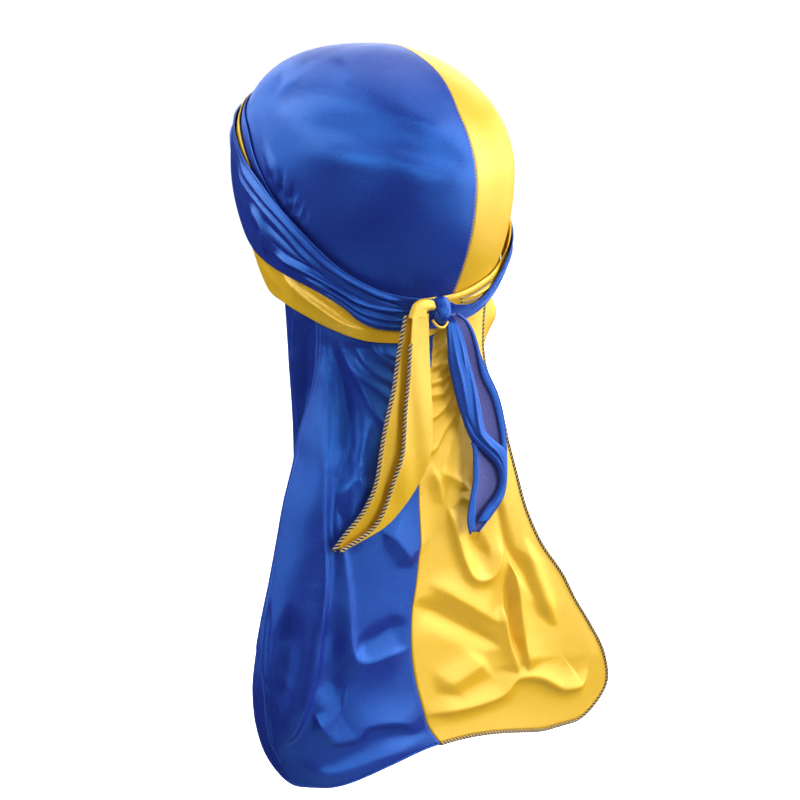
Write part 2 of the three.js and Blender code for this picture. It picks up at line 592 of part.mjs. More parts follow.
const yellowEnd = () => {
  const columns = END_COLUMNS.back + END_COLUMNS.turn + END_COLUMNS.front;
  return hangingEnd(YELLOW_END_ROWS, TIE_YELLOW.length, steps(columns), (read, across, drop) => {
    const column = across * columns;
    const inner = read("fold") + TIE_YELLOW.fold;
    const turn = Math.PI * clamp01((column - END_COLUMNS.back) / END_COLUMNS.turn);
    const front = mix(inner, read("front"), clamp01((column - END_COLUMNS.back - END_COLUMNS.turn) / END_COLUMNS.front));
    const back = mix(read("back"), inner, clamp01(column / END_COLUMNS.back));
    const x = column < END_COLUMNS.back ? back : front - TIE_YELLOW.fold * Math.sin(turn);
    return new THREE.Vector3(x, read("y") + TIE_YELLOW.fold * (1 - Math.cos(turn)), -drop);
  });
};

// Yellow loop: the end leaves the knot, turns over and meets the top of the hanging part
function yellowLoop() {
  const around = 12;
  const top = YELLOW_END_ROWS[0].y * TIE_YELLOW.length + TIE_YELLOW.fold;
  const rings = steps(8).map((share) => {
    const read = (column) => lookup(LOOP_ROWS, "share", share, column) * TIE_YELLOW.loop;
    const turn = radians(lookup(LOOP_ROWS, "share", share, "turn"));
    return Array.from({ length: around }, (_, s) => {
      const angle = (s / around) * 2 * Math.PI;
      const reach = read("half") * Math.cos(angle);
      const out = TIE_YELLOW.loopDepth * Math.sin(angle) + top * share;
      return new THREE.Vector3(read("x") + reach * Math.cos(turn), out, read("z") + reach * Math.sin(turn)).add(knotCentre);
    });
  });
  return ringLoft(rings);
}

// Thin arc of the yellow cloth that shows under the knot
function yellowArc() {
  const away = KNOT.rib + GAP + TIE_YELLOW.arcRadius;
  const points = steps(10).map((share) => {
    const turn = radians(mix(ARC_TURN.from, ARC_TURN.to, share));
    const x = (KNOT.halfWidth + away) * Math.cos(turn);
    const z = (KNOT.halfHeight + away) * Math.sin(turn);
    return new THREE.Vector3(x, ARC_TURN.out * Math.sin(Math.PI * share), z).add(knotCentre);
  });
  return hemAlong(points, TIE_YELLOW.arcRadius, 8);
}

// Blue end: a strip with an open pocket down its middle
const blueEnd = () => hangingEnd(BLUE_END_ROWS, TIE_BLUE.length, steps(6), (read, across, drop) => {
  const open = Math.min(1, (read("left") - read("right")) / TIE_BLUE.pocketWidth) * smooth(drop / TIE_BLUE.pocketFrom);
  const pocket = TIE_BLUE.pocket * Math.sin(Math.PI * across) * open;
  return new THREE.Vector3(mix(read("left"), read("right"), across), read("y") - pocket, -drop);
});

function cloth(name, colour, geometry) {
  const material = new THREE.MeshStandardMaterial({ color: colour, roughness: 0.35, metalness: 0 });
  const mesh = new THREE.Mesh(geometry, material);
  mesh.name = name;
  return mesh;
}

const bluePleats = { height: WRAP.bluePleat, count: WRAP.bluePleats };
const yellowPleats = { height: WRAP.yellowPleat, count: WRAP.yellowPleats };
const durag = new THREE.Group();
durag.add(
  cloth("crown_left", COLOURS.blue, capHalf(1)),
  cloth("crown_right", COLOURS.yellow, capHalf(-1)),
  cloth("front_band_left", COLOURS.blue, frontBand(1)),
  cloth("front_band_right", COLOURS.yellow, frontBand(-1)),
  cloth("strap_yellow", COLOURS.yellow, strapRing(YELLOW_WRAP, LAYER[1], yellowPleats, ringAngles, 4)),
  cloth("strap_blue", COLOURS.blue, strapRing(BLUE_WRAP, LAYER[2], bluePleats, ringAngles, 6)),
  cloth("tail_left", COLOURS.blue, tailHalf(1)),
  cloth("tail_right", COLOURS.yellow, tailHalf(-1)),
  cloth("tail_hem_left", COLOURS.blue, tailHem(1, 0.06)),
  cloth("tail_hem_right", COLOURS.twist, tailHem(-1, 0.03)),
  cloth("knot_blue", COLOURS.blue, knotBody()),
  cloth("knot_loop_yellow", COLOURS.yellow, yellowLoop()),
  cloth("knot_arc_yellow", COLOURS.yellow, yellowArc()),
  cloth("tie_end_yellow", COLOURS.yellow, yellowEnd()),
  cloth("tie_end_blue", COLOURS.blue, blueEnd()),
);

export default durag;
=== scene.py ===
"""Looks of the two-colour durag: satin cloth with folds, a knot, hanging ends, twisted edging and stitches.

Sizes are in millimetres until a piece is made. The wearer faces -Y and the wearer's left is +X.
Angles are degrees round the head: 0 is the back, 90 the wearer's left, 180 the forehead.
"""
import math

import bpy
import numpy as np
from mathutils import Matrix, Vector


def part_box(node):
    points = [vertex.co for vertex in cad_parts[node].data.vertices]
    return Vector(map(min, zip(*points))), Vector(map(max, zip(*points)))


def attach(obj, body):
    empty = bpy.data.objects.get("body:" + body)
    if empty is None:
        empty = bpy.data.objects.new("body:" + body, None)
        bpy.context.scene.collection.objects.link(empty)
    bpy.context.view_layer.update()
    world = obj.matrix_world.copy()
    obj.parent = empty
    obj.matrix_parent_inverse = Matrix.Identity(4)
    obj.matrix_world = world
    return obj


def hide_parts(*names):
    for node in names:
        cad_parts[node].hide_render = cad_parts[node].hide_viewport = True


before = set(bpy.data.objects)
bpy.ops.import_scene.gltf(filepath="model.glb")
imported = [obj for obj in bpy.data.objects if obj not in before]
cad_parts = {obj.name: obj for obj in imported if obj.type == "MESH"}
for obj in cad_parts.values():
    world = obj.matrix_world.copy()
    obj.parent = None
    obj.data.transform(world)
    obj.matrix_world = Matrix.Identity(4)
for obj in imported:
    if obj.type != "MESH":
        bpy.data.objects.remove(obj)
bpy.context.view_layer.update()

MM = 0.001

# Camera: where it stands and how it is turned
CAMERA = {"place": (0.79434, 1.01306, 0.18093), "yaw": -141.185, "pitch": -14.36, "lens": 94.07, "sensor": 36}

# Hollow of the head that the cap fits
HEAD = {
    "half_width": 78, "half_length": 97, "brow_length": 94, "rise": 75, "lean": 1,
    "nape_round": 1.95, "brow_round": 2.6, "side_tuck": 160, "nape_tuck": 104, "brow_tuck": 220,
    "hang_level": 72, "hang_blend": 6,
}

# Cloth and clearances
WALL = 1.0
REST = 0.55
PLY = 0.7
HEM = 1.1
HEM_ALLOWANCE = 2.5
LAYER = (REST, 2 * REST + WALL, 3 * REST + 2 * WALL + 0.6)

SEAM_LEAN = {"across": -8, "top": -10, "middle": -8, "length": 34, "from": 36, "over": 32}
CAP = {"dip": 70, "skirt_drop": 178, "skirt_taper": 0.06, "taper_length": 100, "skirt_front": 88,
       "back_drop": 120, "back_ends": 66}
FLARE = {
    1: {"height": -6, "angle": 48, "level": -138, "spread": 20, "length": 28},
    -1: {"height": 8, "angle": 56, "level": -90, "spread": 12, "length": 15},
}
FLARE_FADE = 4
WRAP_DIP = 95
TAIL = {"reach": 130, "depth": 71, "drop": 290, "top": 74, "tuck": 5, "left_top": 67, "right_top": 29}
FOLD_DEPTH = 1.3
PLEAT_DEPTH = 1.35
TAIL_BEND = {1: (0.75, 0.0), -1: (0.6, 0.3)}
CORNER = {"start": 0.78, "rise": 0.085, "seam": 0.985, "sag": {1: 0.034, -1: 0.045}, "sag_end": 0.55}
RING_END = 0.08
SECTION_START = 0.3

KNOT = {"half_width": 5.5, "half_depth": 5.5, "half_height": 8.5}
TIE_YELLOW = {"length": 140, "fold": 2.2, "loop": 24.4, "loop_depth": 2.8}
TIE_BLUE = {"length": 146}

# Front edge of the cap: angle, level as a share of the cap's dip
CAP_EDGE = [
    (0, -1.0), (88, -1.0), (96, -0.89), (101, -0.71), (108, -0.47), (115, -0.29), (124, -0.07),
    (132, 0.08), (150, 0.11), (180, 0.03),
]

# Bands along the cap's front edge: angle, upper and lower edge as shares of the cap's dip
BAND_EDGE = [
    (40, -0.86, -0.97), (66, -0.66, -0.93), (80, -0.33, -0.72), (89, -0.13, -0.5), (97, 0.06, -0.32),
    (110, 0.36, -0.04), (122, 0.48, 0.14), (135, 0.57, 0.25), (150, 0.62, 0.3), (180, 0.63, 0.3),
]

# Wraps: angle, upper and lower edge as shares of the wrap's dip
BLUE_WRAP = [
    (0, -0.76, -0.9), (8, -0.71, -0.915), (26, -0.675, -0.915), (38, -0.63, -0.895), (46, -0.58, -0.845),
    (53, -0.525, -0.76), (61, -0.44, -0.695), (72, -0.295, -0.63), (83, -0.15, -0.58), (94, -0.01, -0.525),
    (105, 0.095, -0.43), (115, 0.19, -0.25), (124, 0.26, -0.085), (132, 0.315, 0.04), (150, 0.365, 0.105),
    (180, 0.345, 0.085), (210, 0.27, 0.02), (230, 0.19, -0.065), (250, 0.065, -0.17), (270, -0.105, -0.335),
    (290, -0.275, -0.485), (305, -0.38, -0.59), (318, -0.475, -0.655), (330, -0.63, -0.78),
    (340, -0.745, -0.84), (350, -0.78, -0.875), (360, -0.76, -0.9),
]
YELLOW_WRAP = [
    (0, -0.705, -0.86), (8, -0.71, -0.95), (26, -0.715, -1.0), (40, -0.67, -0.99), (50, -0.6, -0.96),
    (62, -0.5, -0.905), (72, -0.38, -0.855), (86, -0.2, -0.79), (96, -0.06, -0.735), (101, 0.02, -0.63),
    (106, 0.105, -0.465), (116, 0.23, -0.2), (124, 0.3, -0.065), (132, 0.37, 0.065), (150, 0.43, 0.145),
    (180, 0.4, 0.125), (210, 0.38, 0.085), (230, 0.315, 0), (250, 0.18, -0.125), (270, 0, -0.295),
    (290, -0.21, -0.475), (305, -0.335, -0.57), (315, -0.44, -0.64), (322, -0.555, -0.71),
    (333, -0.62, -0.765), (342, -0.65, -0.79), (353, -0.69, -0.79), (360, -0.705, -0.86),
]

# Level sections of the tail: share of the drop, then X and Y of its left hem, seam and right hem
TAIL_ROWS = [
    (0, 0.5, 0.43, 0.01, 1.01, 0.26, 0.86), (0.06, 0.51, 0.4, 0.02, 1.01, 0.3, 0.85),
    (0.14, 0.52, 0.36, 0.06, 1.0, 0.355, 0.85), (0.23, 0.55, 0.31, 0.115, 1.0, 0.39, 0.875),
    (0.32, 0.6, 0.31, 0.155, 1.0, 0.42, 0.93), (0.41, 0.68, 0.33, 0.165, 0.99, 0.465, 0.98),
    (0.49, 0.73, 0.34, 0.16, 0.99, 0.515, 1.01), (0.58, 0.79, 0.36, 0.175, 0.99, 0.61, 1.04),
    (0.66, 0.84, 0.36, 0.21, 1.0, 0.74, 1.06), (0.73, 0.875, 0.36, 0.22, 1.01, 0.83, 1.07),
    (0.8, 0.9, 0.37, 0.2, 1.01, 0.93, 1.09), (0.87, 0.89, 0.37, 0.16, 1.01, 1.015, 1.11),
    (0.94, 0.855, 0.39, 0.1, 1.01, 1.05, 1.11), (1.02, 0.79, 0.43, -0.04, 1.03, 1.0, 1.1),
]

# A fold lies along a line through its points. Columns: the points, how wide it is on the right of a line
# that runs down (above one that runs to the right) and on its other side, its height in mm, the shares of the
# line over which it rises and falls, and how round its crest is (1 is a crease).

# Seam of the tail: share of the drop, how far it is drawn to the left under the knot
TAIL_SEAM = [(-0.05, 0.0), (0.01, 0.03), (0.07, 0.14), (0.18, 0.15), (0.27, 0.08), (0.36, 0.01), (0.42, 0), (1.1, 0)]

# Folds of the tail: points are (across, down) shares, across is 0 at the seam, 1 at the left hem, -1 at the right
TAIL_FOLDS = [
    # long ridge of the left half, with the roll between it and the hem
    (((0.96, 0.07), (0.93, 0.12), (0.86, 0.178), (0.735, 0.268), (0.645, 0.352), (0.555, 0.502), (0.51, 0.602),
      (0.495, 0.696), (0.515, 0.774), (0.64, 0.874), (0.79, 0.918)), 3, 34, 6, 0.22, 0.2, 1.4),
    (((0.915, 0.07), (0.87, 0.14), (0.79, 0.205), (0.69, 0.27), (0.62, 0.33)), 3, 7, 2.6, 0.3, 0.4, 1.3),
    (((0.85, 0.085), (0.768, 0.19), (0.58, 0.28), (0.4, 0.36)), 12, 14, -6.5, 0.6, 0.4, 2),
    # swags that hang from the wraps, from the left half over the seam to the right half
    (((0.865, 0.056), (0.755, 0.12), (0.59, 0.176), (0.468, 0.21), (0.285, 0.25), (0.1, 0.29), (-0.05, 0.31),
      (-0.14, 0.262), (-0.255, 0.236), (-0.5, 0.19)), 5, 2.5, 2.2, 0.2, 0.3, 1.3),
    (((0.775, 0.112), (0.64, 0.144), (0.512, 0.166), (0.375, 0.19), (0.15, 0.23), (0, 0.238), (-0.19, 0.194),
      (-0.375, 0.164), (-0.6, 0.13)), 4, 2.5, 2, 0.1, 0.3, 1.4),
    (((0.72, 0.084), (0.62, 0.118), (0.522, 0.14), (0.403, 0.156), (0.2, 0.185), (0, 0.19), (-0.16, 0.15),
      (-0.5, 0.1)), 4, 2.5, 2.2, 0.1, 0.3, 1.3),
    (((0.613, 0.072), (0.545, 0.096), (0.455, 0.116), (0.3, 0.14), (0.1, 0.162), (0, 0.16), (-0.16, 0.125),
      (-0.5, 0.08)), 3.5, 2.2, 2, 0.1, 0.3, 1.3),
    (((0.565, 0.076), (0.497, 0.092), (0.4, 0.106), (0.25, 0.12), (0, 0.13), (-0.2, 0.1), (-0.5, 0.066)),
     3, 2, 1.8, 0.1, 0.3, 1.3),
    # gathers under the knot
    (((0.23, 0.108), (0.205, 0.098), (0.127, 0.08), (0.028, 0.058)), 1.6, 2.2, 0.8, 0.2, 0.1, 1.3),
    (((0.215, 0.126), (0.188, 0.118), (0.093, 0.096), (0.005, 0.074)), 1.6, 2.2, 0.8, 0.2, 0.1, 1.3),
    (((0.2, 0.15), (0.157, 0.142), (0.07, 0.114), (-0.037, 0.09)), 1.8, 2.4, 0.9, 0.2, 0.1, 1.3),
    (((0.17, 0.18), (0.117, 0.168), (0.045, 0.14), (-0.07, 0.114)), 2, 2.6, 1, 0.2, 0.2, 1.3),
    # left half
    (((0.56, 0.29), (0.43, 0.38), (0.32, 0.5)), 16, 14, 2.5, 0.4, 0.4, 2),
    (((0.51, 0.32), (0.403, 0.346), (0.295, 0.38)), 3, 6, 1.4, 0.3, 0.3, 1.5),
    (((0.198, 0.458), (0.103, 0.504), (0.02, 0.556)), 12, 4, 2.4, 0.3, 0.3, 1.5),
    (((0.54, 0.4), (0.48, 0.455), (0.42, 0.51), (0.345, 0.6), (0.275, 0.714), (0.24, 0.756)),
     2.5, 16, 2.2, 0.2, 0.15, 1.2),
    (((0.503, 0.836), (0.443, 0.892), (0.388, 0.908), (0.307, 0.908), (0.235, 0.886), (0.143, 0.892),
      (0.085, 0.906), (0.045, 0.938)), 12, 3.5, 2.8, 0.15, 0.2, 1.4),
    (((0.29, 0.712), (0.223, 0.74), (0.168, 0.742), (0.103, 0.738), (0.0, 0.735)), 3, 10, 1.6, 0.25, 0.3, 1.3),
    (((0.273, 0.704), (0.163, 0.698), (0.013, 0.676)), 7, 7, -1.8, 0.3, 0.3, 2),
    (((0.42, 0.6), (0.39, 0.72), (0.37, 0.84)), 10, 12, -3, 0.35, 0.3, 2),
    (((0.75, 0.6), (0.7, 0.72), (0.74, 0.85)), 11, 11, -4, 0.35, 0.3, 2),
    (((0.96, 0.6), (0.9, 0.72), (0.84, 0.82), (0.85, 0.92)), 3, 3, -1.6, 0.2, 0.2, 1.6),
    (((0.7, 0.95), (0.5, 0.985), (0.25, 0.97), (0.0, 0.95)), 7, 10, 2, 0.3, 0.3, 1.8),
    # right half
    (((-0.158, 0.43), (-0.228, 0.55), (-0.285, 0.615), (-0.38, 0.628), (-0.49, 0.606), (-0.667, 0.536)),
     9, 3, 3, 0.15, 0.25, 1.3),
    (((-0.3, 0.5), (-0.37, 0.56), (-0.48, 0.55)), 9, 9, -2.5, 0.4, 0.4, 2),
    (((-0.0, 0.636), (-0.193, 0.718), (-0.36, 0.794)), 6, 6, -3, 0.25, 0.25, 2),
    (((-0.05, 0.6), (-0.2, 0.66), (-0.4, 0.74)), 10, 4, 2.2, 0.3, 0.3, 1.5),
    (((-0.448, 0.698), (-0.408, 0.786), (-0.395, 0.868)), 3, 6, 3, 0.25, 0.2, 1.4),
    (((-0.56, 0.62), (-0.49, 0.72), (-0.43, 0.83)), 3.5, 3.5, -2.5, 0.3, 0.3, 1.8),
    (((-0.645, 0.574), (-0.575, 0.664), (-0.49, 0.796), (-0.455, 0.87)), 14, 3, 4, 0.25, 0.15, 1.3),
    (((0.0, 0.9), (-0.155, 0.912), (-0.288, 0.906), (-0.385, 0.878), (-0.508, 0.89), (-0.665, 0.934),
      (-0.805, 0.94), (-0.88, 0.9)), 9, 3.5, 3.2, 0.1, 0.2, 1.4),
    (((-0.055, 0.852), (-0.145, 0.836), (-0.273, 0.812)), 8, 8, 2.6, 0.25, 0.25, 1.8),
    (((-0.9, 0.55), (-0.797, 0.648), (-0.775, 0.78)), 10, 9, 3, 0.3, 0.3, 2),
    (((-0.72, 0.42), (-0.66, 0.55), (-0.68, 0.7)), 8, 8, -2, 0.3, 0.3, 2),
    (((-0.083, 0.43), (-0.13, 0.36), (-0.2, 0.298), (-0.305, 0.216)), 7, 7, 2, 0.3, 0.3, 1.8),
    (((-0.107, 0.358), (-0.242, 0.388), (-0.375, 0.42)), 5, 2.5, 1.4, 0.3, 0.3, 1.3),
    (((-0.168, 0.452), (-0.275, 0.432), (-0.408, 0.456)), 4, 2.5, 1.1, 0.3, 0.3, 1.3),
    (((-0.06, 0.34), (-0.11, 0.395), (-0.15, 0.44)), 2.5, 4, 1.2, 0.3, 0.3, 1.3),
]

# Folds of the cap and its skirt: across is a share of 180 degrees to the left, down a share of the rise
CAP_FOLDS = [
    (((0.542, 0.7), (0.511, 0.843), (0.5, 0.97)), 3, 3, 1.4, 0.6, 0.1, 1.5),
    (((0.514, 0.78), (0.492, 0.911), (0.475, 1.07)), 2.2, 2.2, 1.8, 0.6, 0.1, 1.4),
    (((0.472, 0.92), (0.467, 1.059), (0.456, 1.18)), 1.8, 1.8, -1.8, 0.6, 0.1, 1.6),
    (((0.453, 0.93), (0.456, 1.073), (0.443, 1.22)), 1.6, 2, 2.1, 0.6, 0.1, 1.3),
    (((0.431, 1.0), (0.444, 1.147), (0.436, 1.26)), 1.8, 1.8, -1.7, 0.6, 0.1, 1.6),
    (((0.414, 1.08), (0.431, 1.221), (0.42, 1.32)), 1.5, 1.5, 1.7, 0.6, 0.1, 1.3),
    (((0.397, 1.15), (0.414, 1.268), (0.405, 1.38)), 1.5, 1.5, 1.4, 0.6, 0.1, 1.3),
    (((0.386, 1.2), (0.394, 1.329), (0.385, 1.43)), 1.5, 1.5, 1.2, 0.6, 0.1, 1.3),
    (((0.636, 0.526), (0.483, 0.405), (0.344, 0.344), (0.167, 0.465), (0.025, 0.668)), 9, 9, 1.1, 0.25, 0.2, 2),
    (((0.433, 0.526), (0.339, 0.553), (0.231, 0.621), (0.142, 0.708), (0.022, 0.823)), 8, 8, -1.3, 0.3, 0.2, 2),
    (((0.461, 0.762), (0.339, 0.762), (0.233, 0.783), (0.144, 0.843), (0.019, 0.998)), 9, 9, 1, 0.3, 0.2, 2),
    (((0.411, 0.175), (0.217, 0.148), (0.017, 0.263)), 10, 8, -0.8, 0.3, 0.3, 2),
    (((0.111, 0.337), (0.056, 0.324), (0.005, 0.304)), 1.4, 1.8, 0.5, 0.5, 0.2, 1.5),
    (((0.081, 0.378), (0.033, 0.371), (0.002, 0.358)), 1.2, 1.6, 0.5, 0.5, 0.2, 1.5),
    (((-0.55, 0.7), (-0.52, 0.9), (-0.55, 1.05)), 3, 3, 1.2, 0.6, 0.1, 1.3),
    (((-0.46, 0.75), (-0.45, 1.0), (-0.47, 1.2)), 3, 3, 1.2, 0.6, 0.1, 1.3),
    (((-0.38, 0.95), (-0.37, 1.2), (-0.39, 1.4)), 4, 3, 1.1, 0.6, 0.1, 1.4),
    (((0.469, 1.95), (0.453, 2.18), (0.475, 2.4)), 3, 2, 2, 0.1, 0.4, 1.3),
    (((0.455, 2.26), (0.469, 2.52), (0.465, 2.8), (0.45, 3.15)), 5, 3, 2.4, 0.3, 0.2, 1.6),
    (((0.425, 2.12), (0.417, 2.25), (0.425, 2.54), (0.44, 2.9)), 4, 4, -2, 0.2, 0.3, 2),
    (((-0.45, 2.1), (-0.46, 2.5), (-0.44, 2.9)), 4, 4, 2.2, 0.2, 0.3, 1.6),
    (((-0.36, 2.2), (-0.37, 2.6), (-0.33, 3.1)), 5, 5, 2.2, 0.2, 0.3, 1.8),
]

# Pleats of the wraps: across is a share of the full turn to the left, down a share of the width from the top
BLUE_PLEATS = [
    (((0.305, 0.1), (0.2854, 0.12), (0.2556, 0.13), (0.2285, 0.12), (0.2083, 0.14), (0.191, 0.17), (0.173, 0.18),
      (0.155, 0.14), (0.12, 0.1), (0.075, 0.12)), 1.6, 2, 1.5, 0.1, 0.1, 1.6),
    (((0.31, 0.24), (0.2868, 0.27), (0.2569, 0.28), (0.2299, 0.29), (0.2125, 0.33), (0.2042, 0.38), (0.1903, 0.41),
      (0.1715, 0.43)), 2.4, 0.9, 1.9, 0.15, 0.15, 1.3),
    (((0.262, 0.42), (0.2521, 0.45), (0.2271, 0.47), (0.2083, 0.52), (0.1917, 0.54), (0.1729, 0.53)),
     1.6, 2, -1, 0.2, 0.2, 1.8),
    (((0.2819, 0.45), (0.2618, 0.5), (0.255, 0.62), (0.2583, 0.88)), 3, 5, 1.8, 0.3, 0.2, 1.6),
    (((0.2479, 0.62), (0.2257, 0.66), (0.2049, 0.63), (0.1792, 0.58), (0.1479, 0.49), (0.1139, 0.36)),
     1.2, 1.4, -0.9, 0.15, 0.2, 1.8),
    (((0.2465, 0.77), (0.2264, 0.77), (0.1986, 0.71), (0.1667, 0.62), (0.1389, 0.55), (0.1035, 0.44),
      (0.06, 0.42)), 1, 1.8, 1.5, 0.15, 0.2, 1.3),
    (((0.1792, 0.74), (0.1472, 0.66), (0.1153, 0.56), (0.0764, 0.6)), 1, 1.2, -0.9, 0.2, 0.2, 1.8),
    (((0.2056, 0.87), (0.166, 0.78), (0.1403, 0.75), (0.1076, 0.69), (0.06, 0.7)), 1, 1.8, 1.4, 0.2, 0.2, 1.3),
    (((0.1549, 0.25), (0.1243, 0.22), (0.0993, 0.24), (0.0729, 0.3)), 1, 1, -0.9, 0.2, 0.2, 1.8),
    (((0.18, 0.92), (0.1528, 0.91), (0.1201, 0.88), (0.07, 0.9)), 1, 1.4, 1.2, 0.2, 0.2, 1.4),
    (((0.34, 0.5), (0.45, 0.4), (0.55, 0.45)), 2, 3, 1.1, 0.2, 0.2, 1.5),
    (((0.55, 0.3), (0.7, 0.35), (0.95, 0.4)), 1.6, 2.4, 1.1, 0.2, 0.15, 1.4),
    (((0.58, 0.72), (0.75, 0.7), (0.97, 0.75)), 1.4, 2.4, 1, 0.2, 0.15, 1.4),
]
YELLOW_PLEATS = [
    (((0.24, 0.64), (0.2257, 0.66), (0.2028, 0.7), (0.1785, 0.72), (0.1535, 0.77), (0.12, 0.8)),
     0.7, 6, 2, 0.2, 0.25, 1.2),
    (((0.215, 0.58), (0.2028, 0.61), (0.1868, 0.63), (0.1701, 0.64), (0.15, 0.7)), 1.6, 0.8, -0.6, 0.25, 0.2, 1.8),
    (((0.21, 0.5), (0.19, 0.52), (0.17, 0.54), (0.145, 0.6)), 1, 1, 1, 0.2, 0.2, 1.3),
    (((0.34, 0.7), (0.29, 0.78), (0.24, 0.85)), 3, 3, 0.7, 0.2, 0.2, 1.8),
    (((0.45, 0.4), (0.6, 0.45), (0.8, 0.4)), 2, 3, 0.8, 0.2, 0.2, 1.5),
    (((0.75, 0.55), (0.88, 0.5), (0.985, 0.5)), 1.4, 2.2, 0.9, 0.2, 0.1, 1.4),
]

# Twisted edging of the yellow strap beside the knot: angle and level in mm
STRAP_EDGES = {"upper": [(336, -62.5), (343, -65.5), (350, -68), (357, -69.5)], "lower": [(341, -71), (348, -72.5), (356, -72)]}

# Stitched row inside the left hem of the tail, in the tail's shares
HEM_ROW = [(0.975, 0.02), (0.972, 0.3), (0.975, 0.56), (0.945, 0.712), (0.88, 0.814), (0.885, 0.9), (0.85, 0.955)]

# Loop of the yellow end: share along it, X, Z and half width as shares of its size, and its turn
LOOP_ROWS = [(0, 0.266, 0.15, 0.125, 90), (0.33, 0.47, 0.185, 0.17, 70), (0.66, 0.635, 0.12, 0.23, 35),
             (1, 0.71, -0.09, 0.28, 0)]

# Hanging ends: drop, X and Y as shares of each end's length from the knot's middle
YELLOW_END = [
    (0.006, 0.072, 0.176, 0.166, -0.019), (0.145, 0.059, 0.2, 0.17, -0.029), (0.29, 0.043, 0.22, 0.172, -0.036),
    (0.43, 0.026, 0.253, 0.183, -0.043), (0.6, 0.019, 0.278, 0.19, -0.056), (0.74, 0.062, 0.302, 0.229, -0.071),
    (0.85, 0.146, 0.351, 0.265, -0.089), (0.93, 0.236, 0.429, 0.32, -0.106), (1.0, 0.44, 0.482, 0.47, -0.125),
]
BLUE_END = [
    (0.027, -0.0405, -0.085, -0.006), (0.06, -0.05, -0.145, -0.022), (0.1, -0.054, -0.18, -0.025),
    (0.15, -0.058, -0.207, -0.027), (0.235, -0.066, -0.24, -0.029), (0.32, -0.088, -0.286, -0.03),
    (0.415, -0.118, -0.338, -0.031), (0.525, -0.162, -0.375, -0.033), (0.635, -0.213, -0.39, -0.033),
    (0.765, -0.215, -0.394, -0.033), (0.87, -0.193, -0.375, -0.033), (0.94, -0.184, -0.31, -0.033),
    (1.0, -0.197, -0.24, -0.033),
]

# Blue end: drop, and the shares across it where its front strip and its turned-in borders start and stop
BLUE_FLAP = [
    (0.027, 0, 0.35), (0.095, 0, 0.51), (0.21, 0, 0.59), (0.327, 0, 0.565), (0.44, 0, 0.49), (0.56, 0, 0.45),
    (0.616, 0.1, 0.67), (0.657, 0.31, 0.93), (0.703, 0.57, 1), (0.749, 0.72, 1), (0.807, 0.78, 1),
    (0.859, 0.68, 1), (0.9, 0.5, 1), (0.96, 0.4, 1),
]
BLUE_BORDERS = {
    "right": [(0.05, 0.9, 1), (0.21, 0.9, 1), (0.327, 0.8, 1), (0.44, 0.84, 1), (0.56, 0.84, 1), (0.66, 0.85, 1)],
    "left": [(0.6, 0, 0.1), (0.7, 0, 0.13), (0.85, 0, 0.15), (0.99, 0, 0.4)],
}
BLUE_CREASES = [
    (((0.3, 0.03), (0.25, 0.15), (0.3, 0.3), (0.2, 0.5)), 1.4, 2.4, 1.3, 0.1, 0.3, 1.4),
    (((0.75, 0.03), (0.7, 0.14), (0.65, 0.3)), 1.2, 1.6, 1.1, 0.1, 0.4, 1.4),
    (((0.9, 0.2), (0.75, 0.38), (0.5, 0.56), (0.45, 0.72)), 1.6, 3, 1.3, 0.3, 0.3, 1.5),
    (((0.1, 0.45), (0.3, 0.6), (0.4, 0.75)), 2, 2, -0.9, 0.3, 0.3, 1.8),
]


# Small tools
def mix(a, b, t):
    return a + (b - a) * t


def smooth(t):
    t = np.clip(t, 0, 1)
    return t * t * (3 - 2 * t)


def bell(t):
    return np.exp(-t * t)


def unit(v):
    return v / np.maximum(np.linalg.norm(v, axis=-1, keepdims=True), 1e-9)


def read(table, at):
    """The table's other columns at a value of its first, on a smooth curve through its rows."""
    rows = np.array(table, float)
    at = np.asarray(at, float)
    k = np.clip(np.searchsorted(rows[:, 0], at, side="right") - 1, 0, len(rows) - 2)
    p, a, b, q = (rows[np.clip(k + step, 0, len(rows) - 1)] for step in (-1, 0, 1, 2))
    span = b[..., :1] - a[..., :1]
    rise = b - a
    t = np.clip((at[..., None] - a[..., :1]) / span, 0, 1)

    def slope(low, high):
        s = (high - low) / (high[..., :1] - low[..., :1]) * span
        return np.where(s * rise <= 0, 0, np.sign(s) * np.minimum(abs(s), 3 * abs(rise)))

    value = (2 * t**3 - 3 * t**2 + 1) * a + (t**3 - 2 * t**2 + t) * slope(p, b)
    value += (3 * t**2 - 2 * t**3) * b + (t**3 - t**2) * slope(a, q)
    return np.moveaxis(value[..., 1:], -1, 0)


def through(points, count=60):
    """A smooth line through the points, in even steps."""
    table = [(k, *point) for k, point in enumerate(points)]
    fine = np.stack(read(table, np.linspace(0, len(points) - 1, 8 * count)), -1)
    length = np.concatenate([[0], np.linalg.norm(np.diff(fine, axis=0), axis=-1).cumsum()])
    at = np.linspace(0, length[-1], count)
    return np.stack([np.interp(at, length, fine[:, k]) for k in range(2)], -1)


def nearest(here, line):
    """Distance to the line, the side of it from -1 to 1 and the share along it, for each point."""
    best = np.full(len(here), np.inf)
    along = np.zeros(len(here))
    side = np.zeros(len(here))
    for k in range(len(line) - 1):
        step = line[k + 1] - line[k]
        off = here - line[k]
        s = np.clip((off @ step) / (step @ step), 0, 1)
        gap = off - s[:, None] * step
        distance = np.hypot(gap[:, 0], gap[:, 1])
        closer = distance < best
        best = np.where(closer, distance, best)
        along = np.where(closer, (k + s) / (len(line) - 1), along)
        side = np.where(closer, (step[0] * gap[:, 1] - step[1] * gap[:, 0]) / np.hypot(*step), side)
    return best, side / np.maximum(best, 1e-3), along


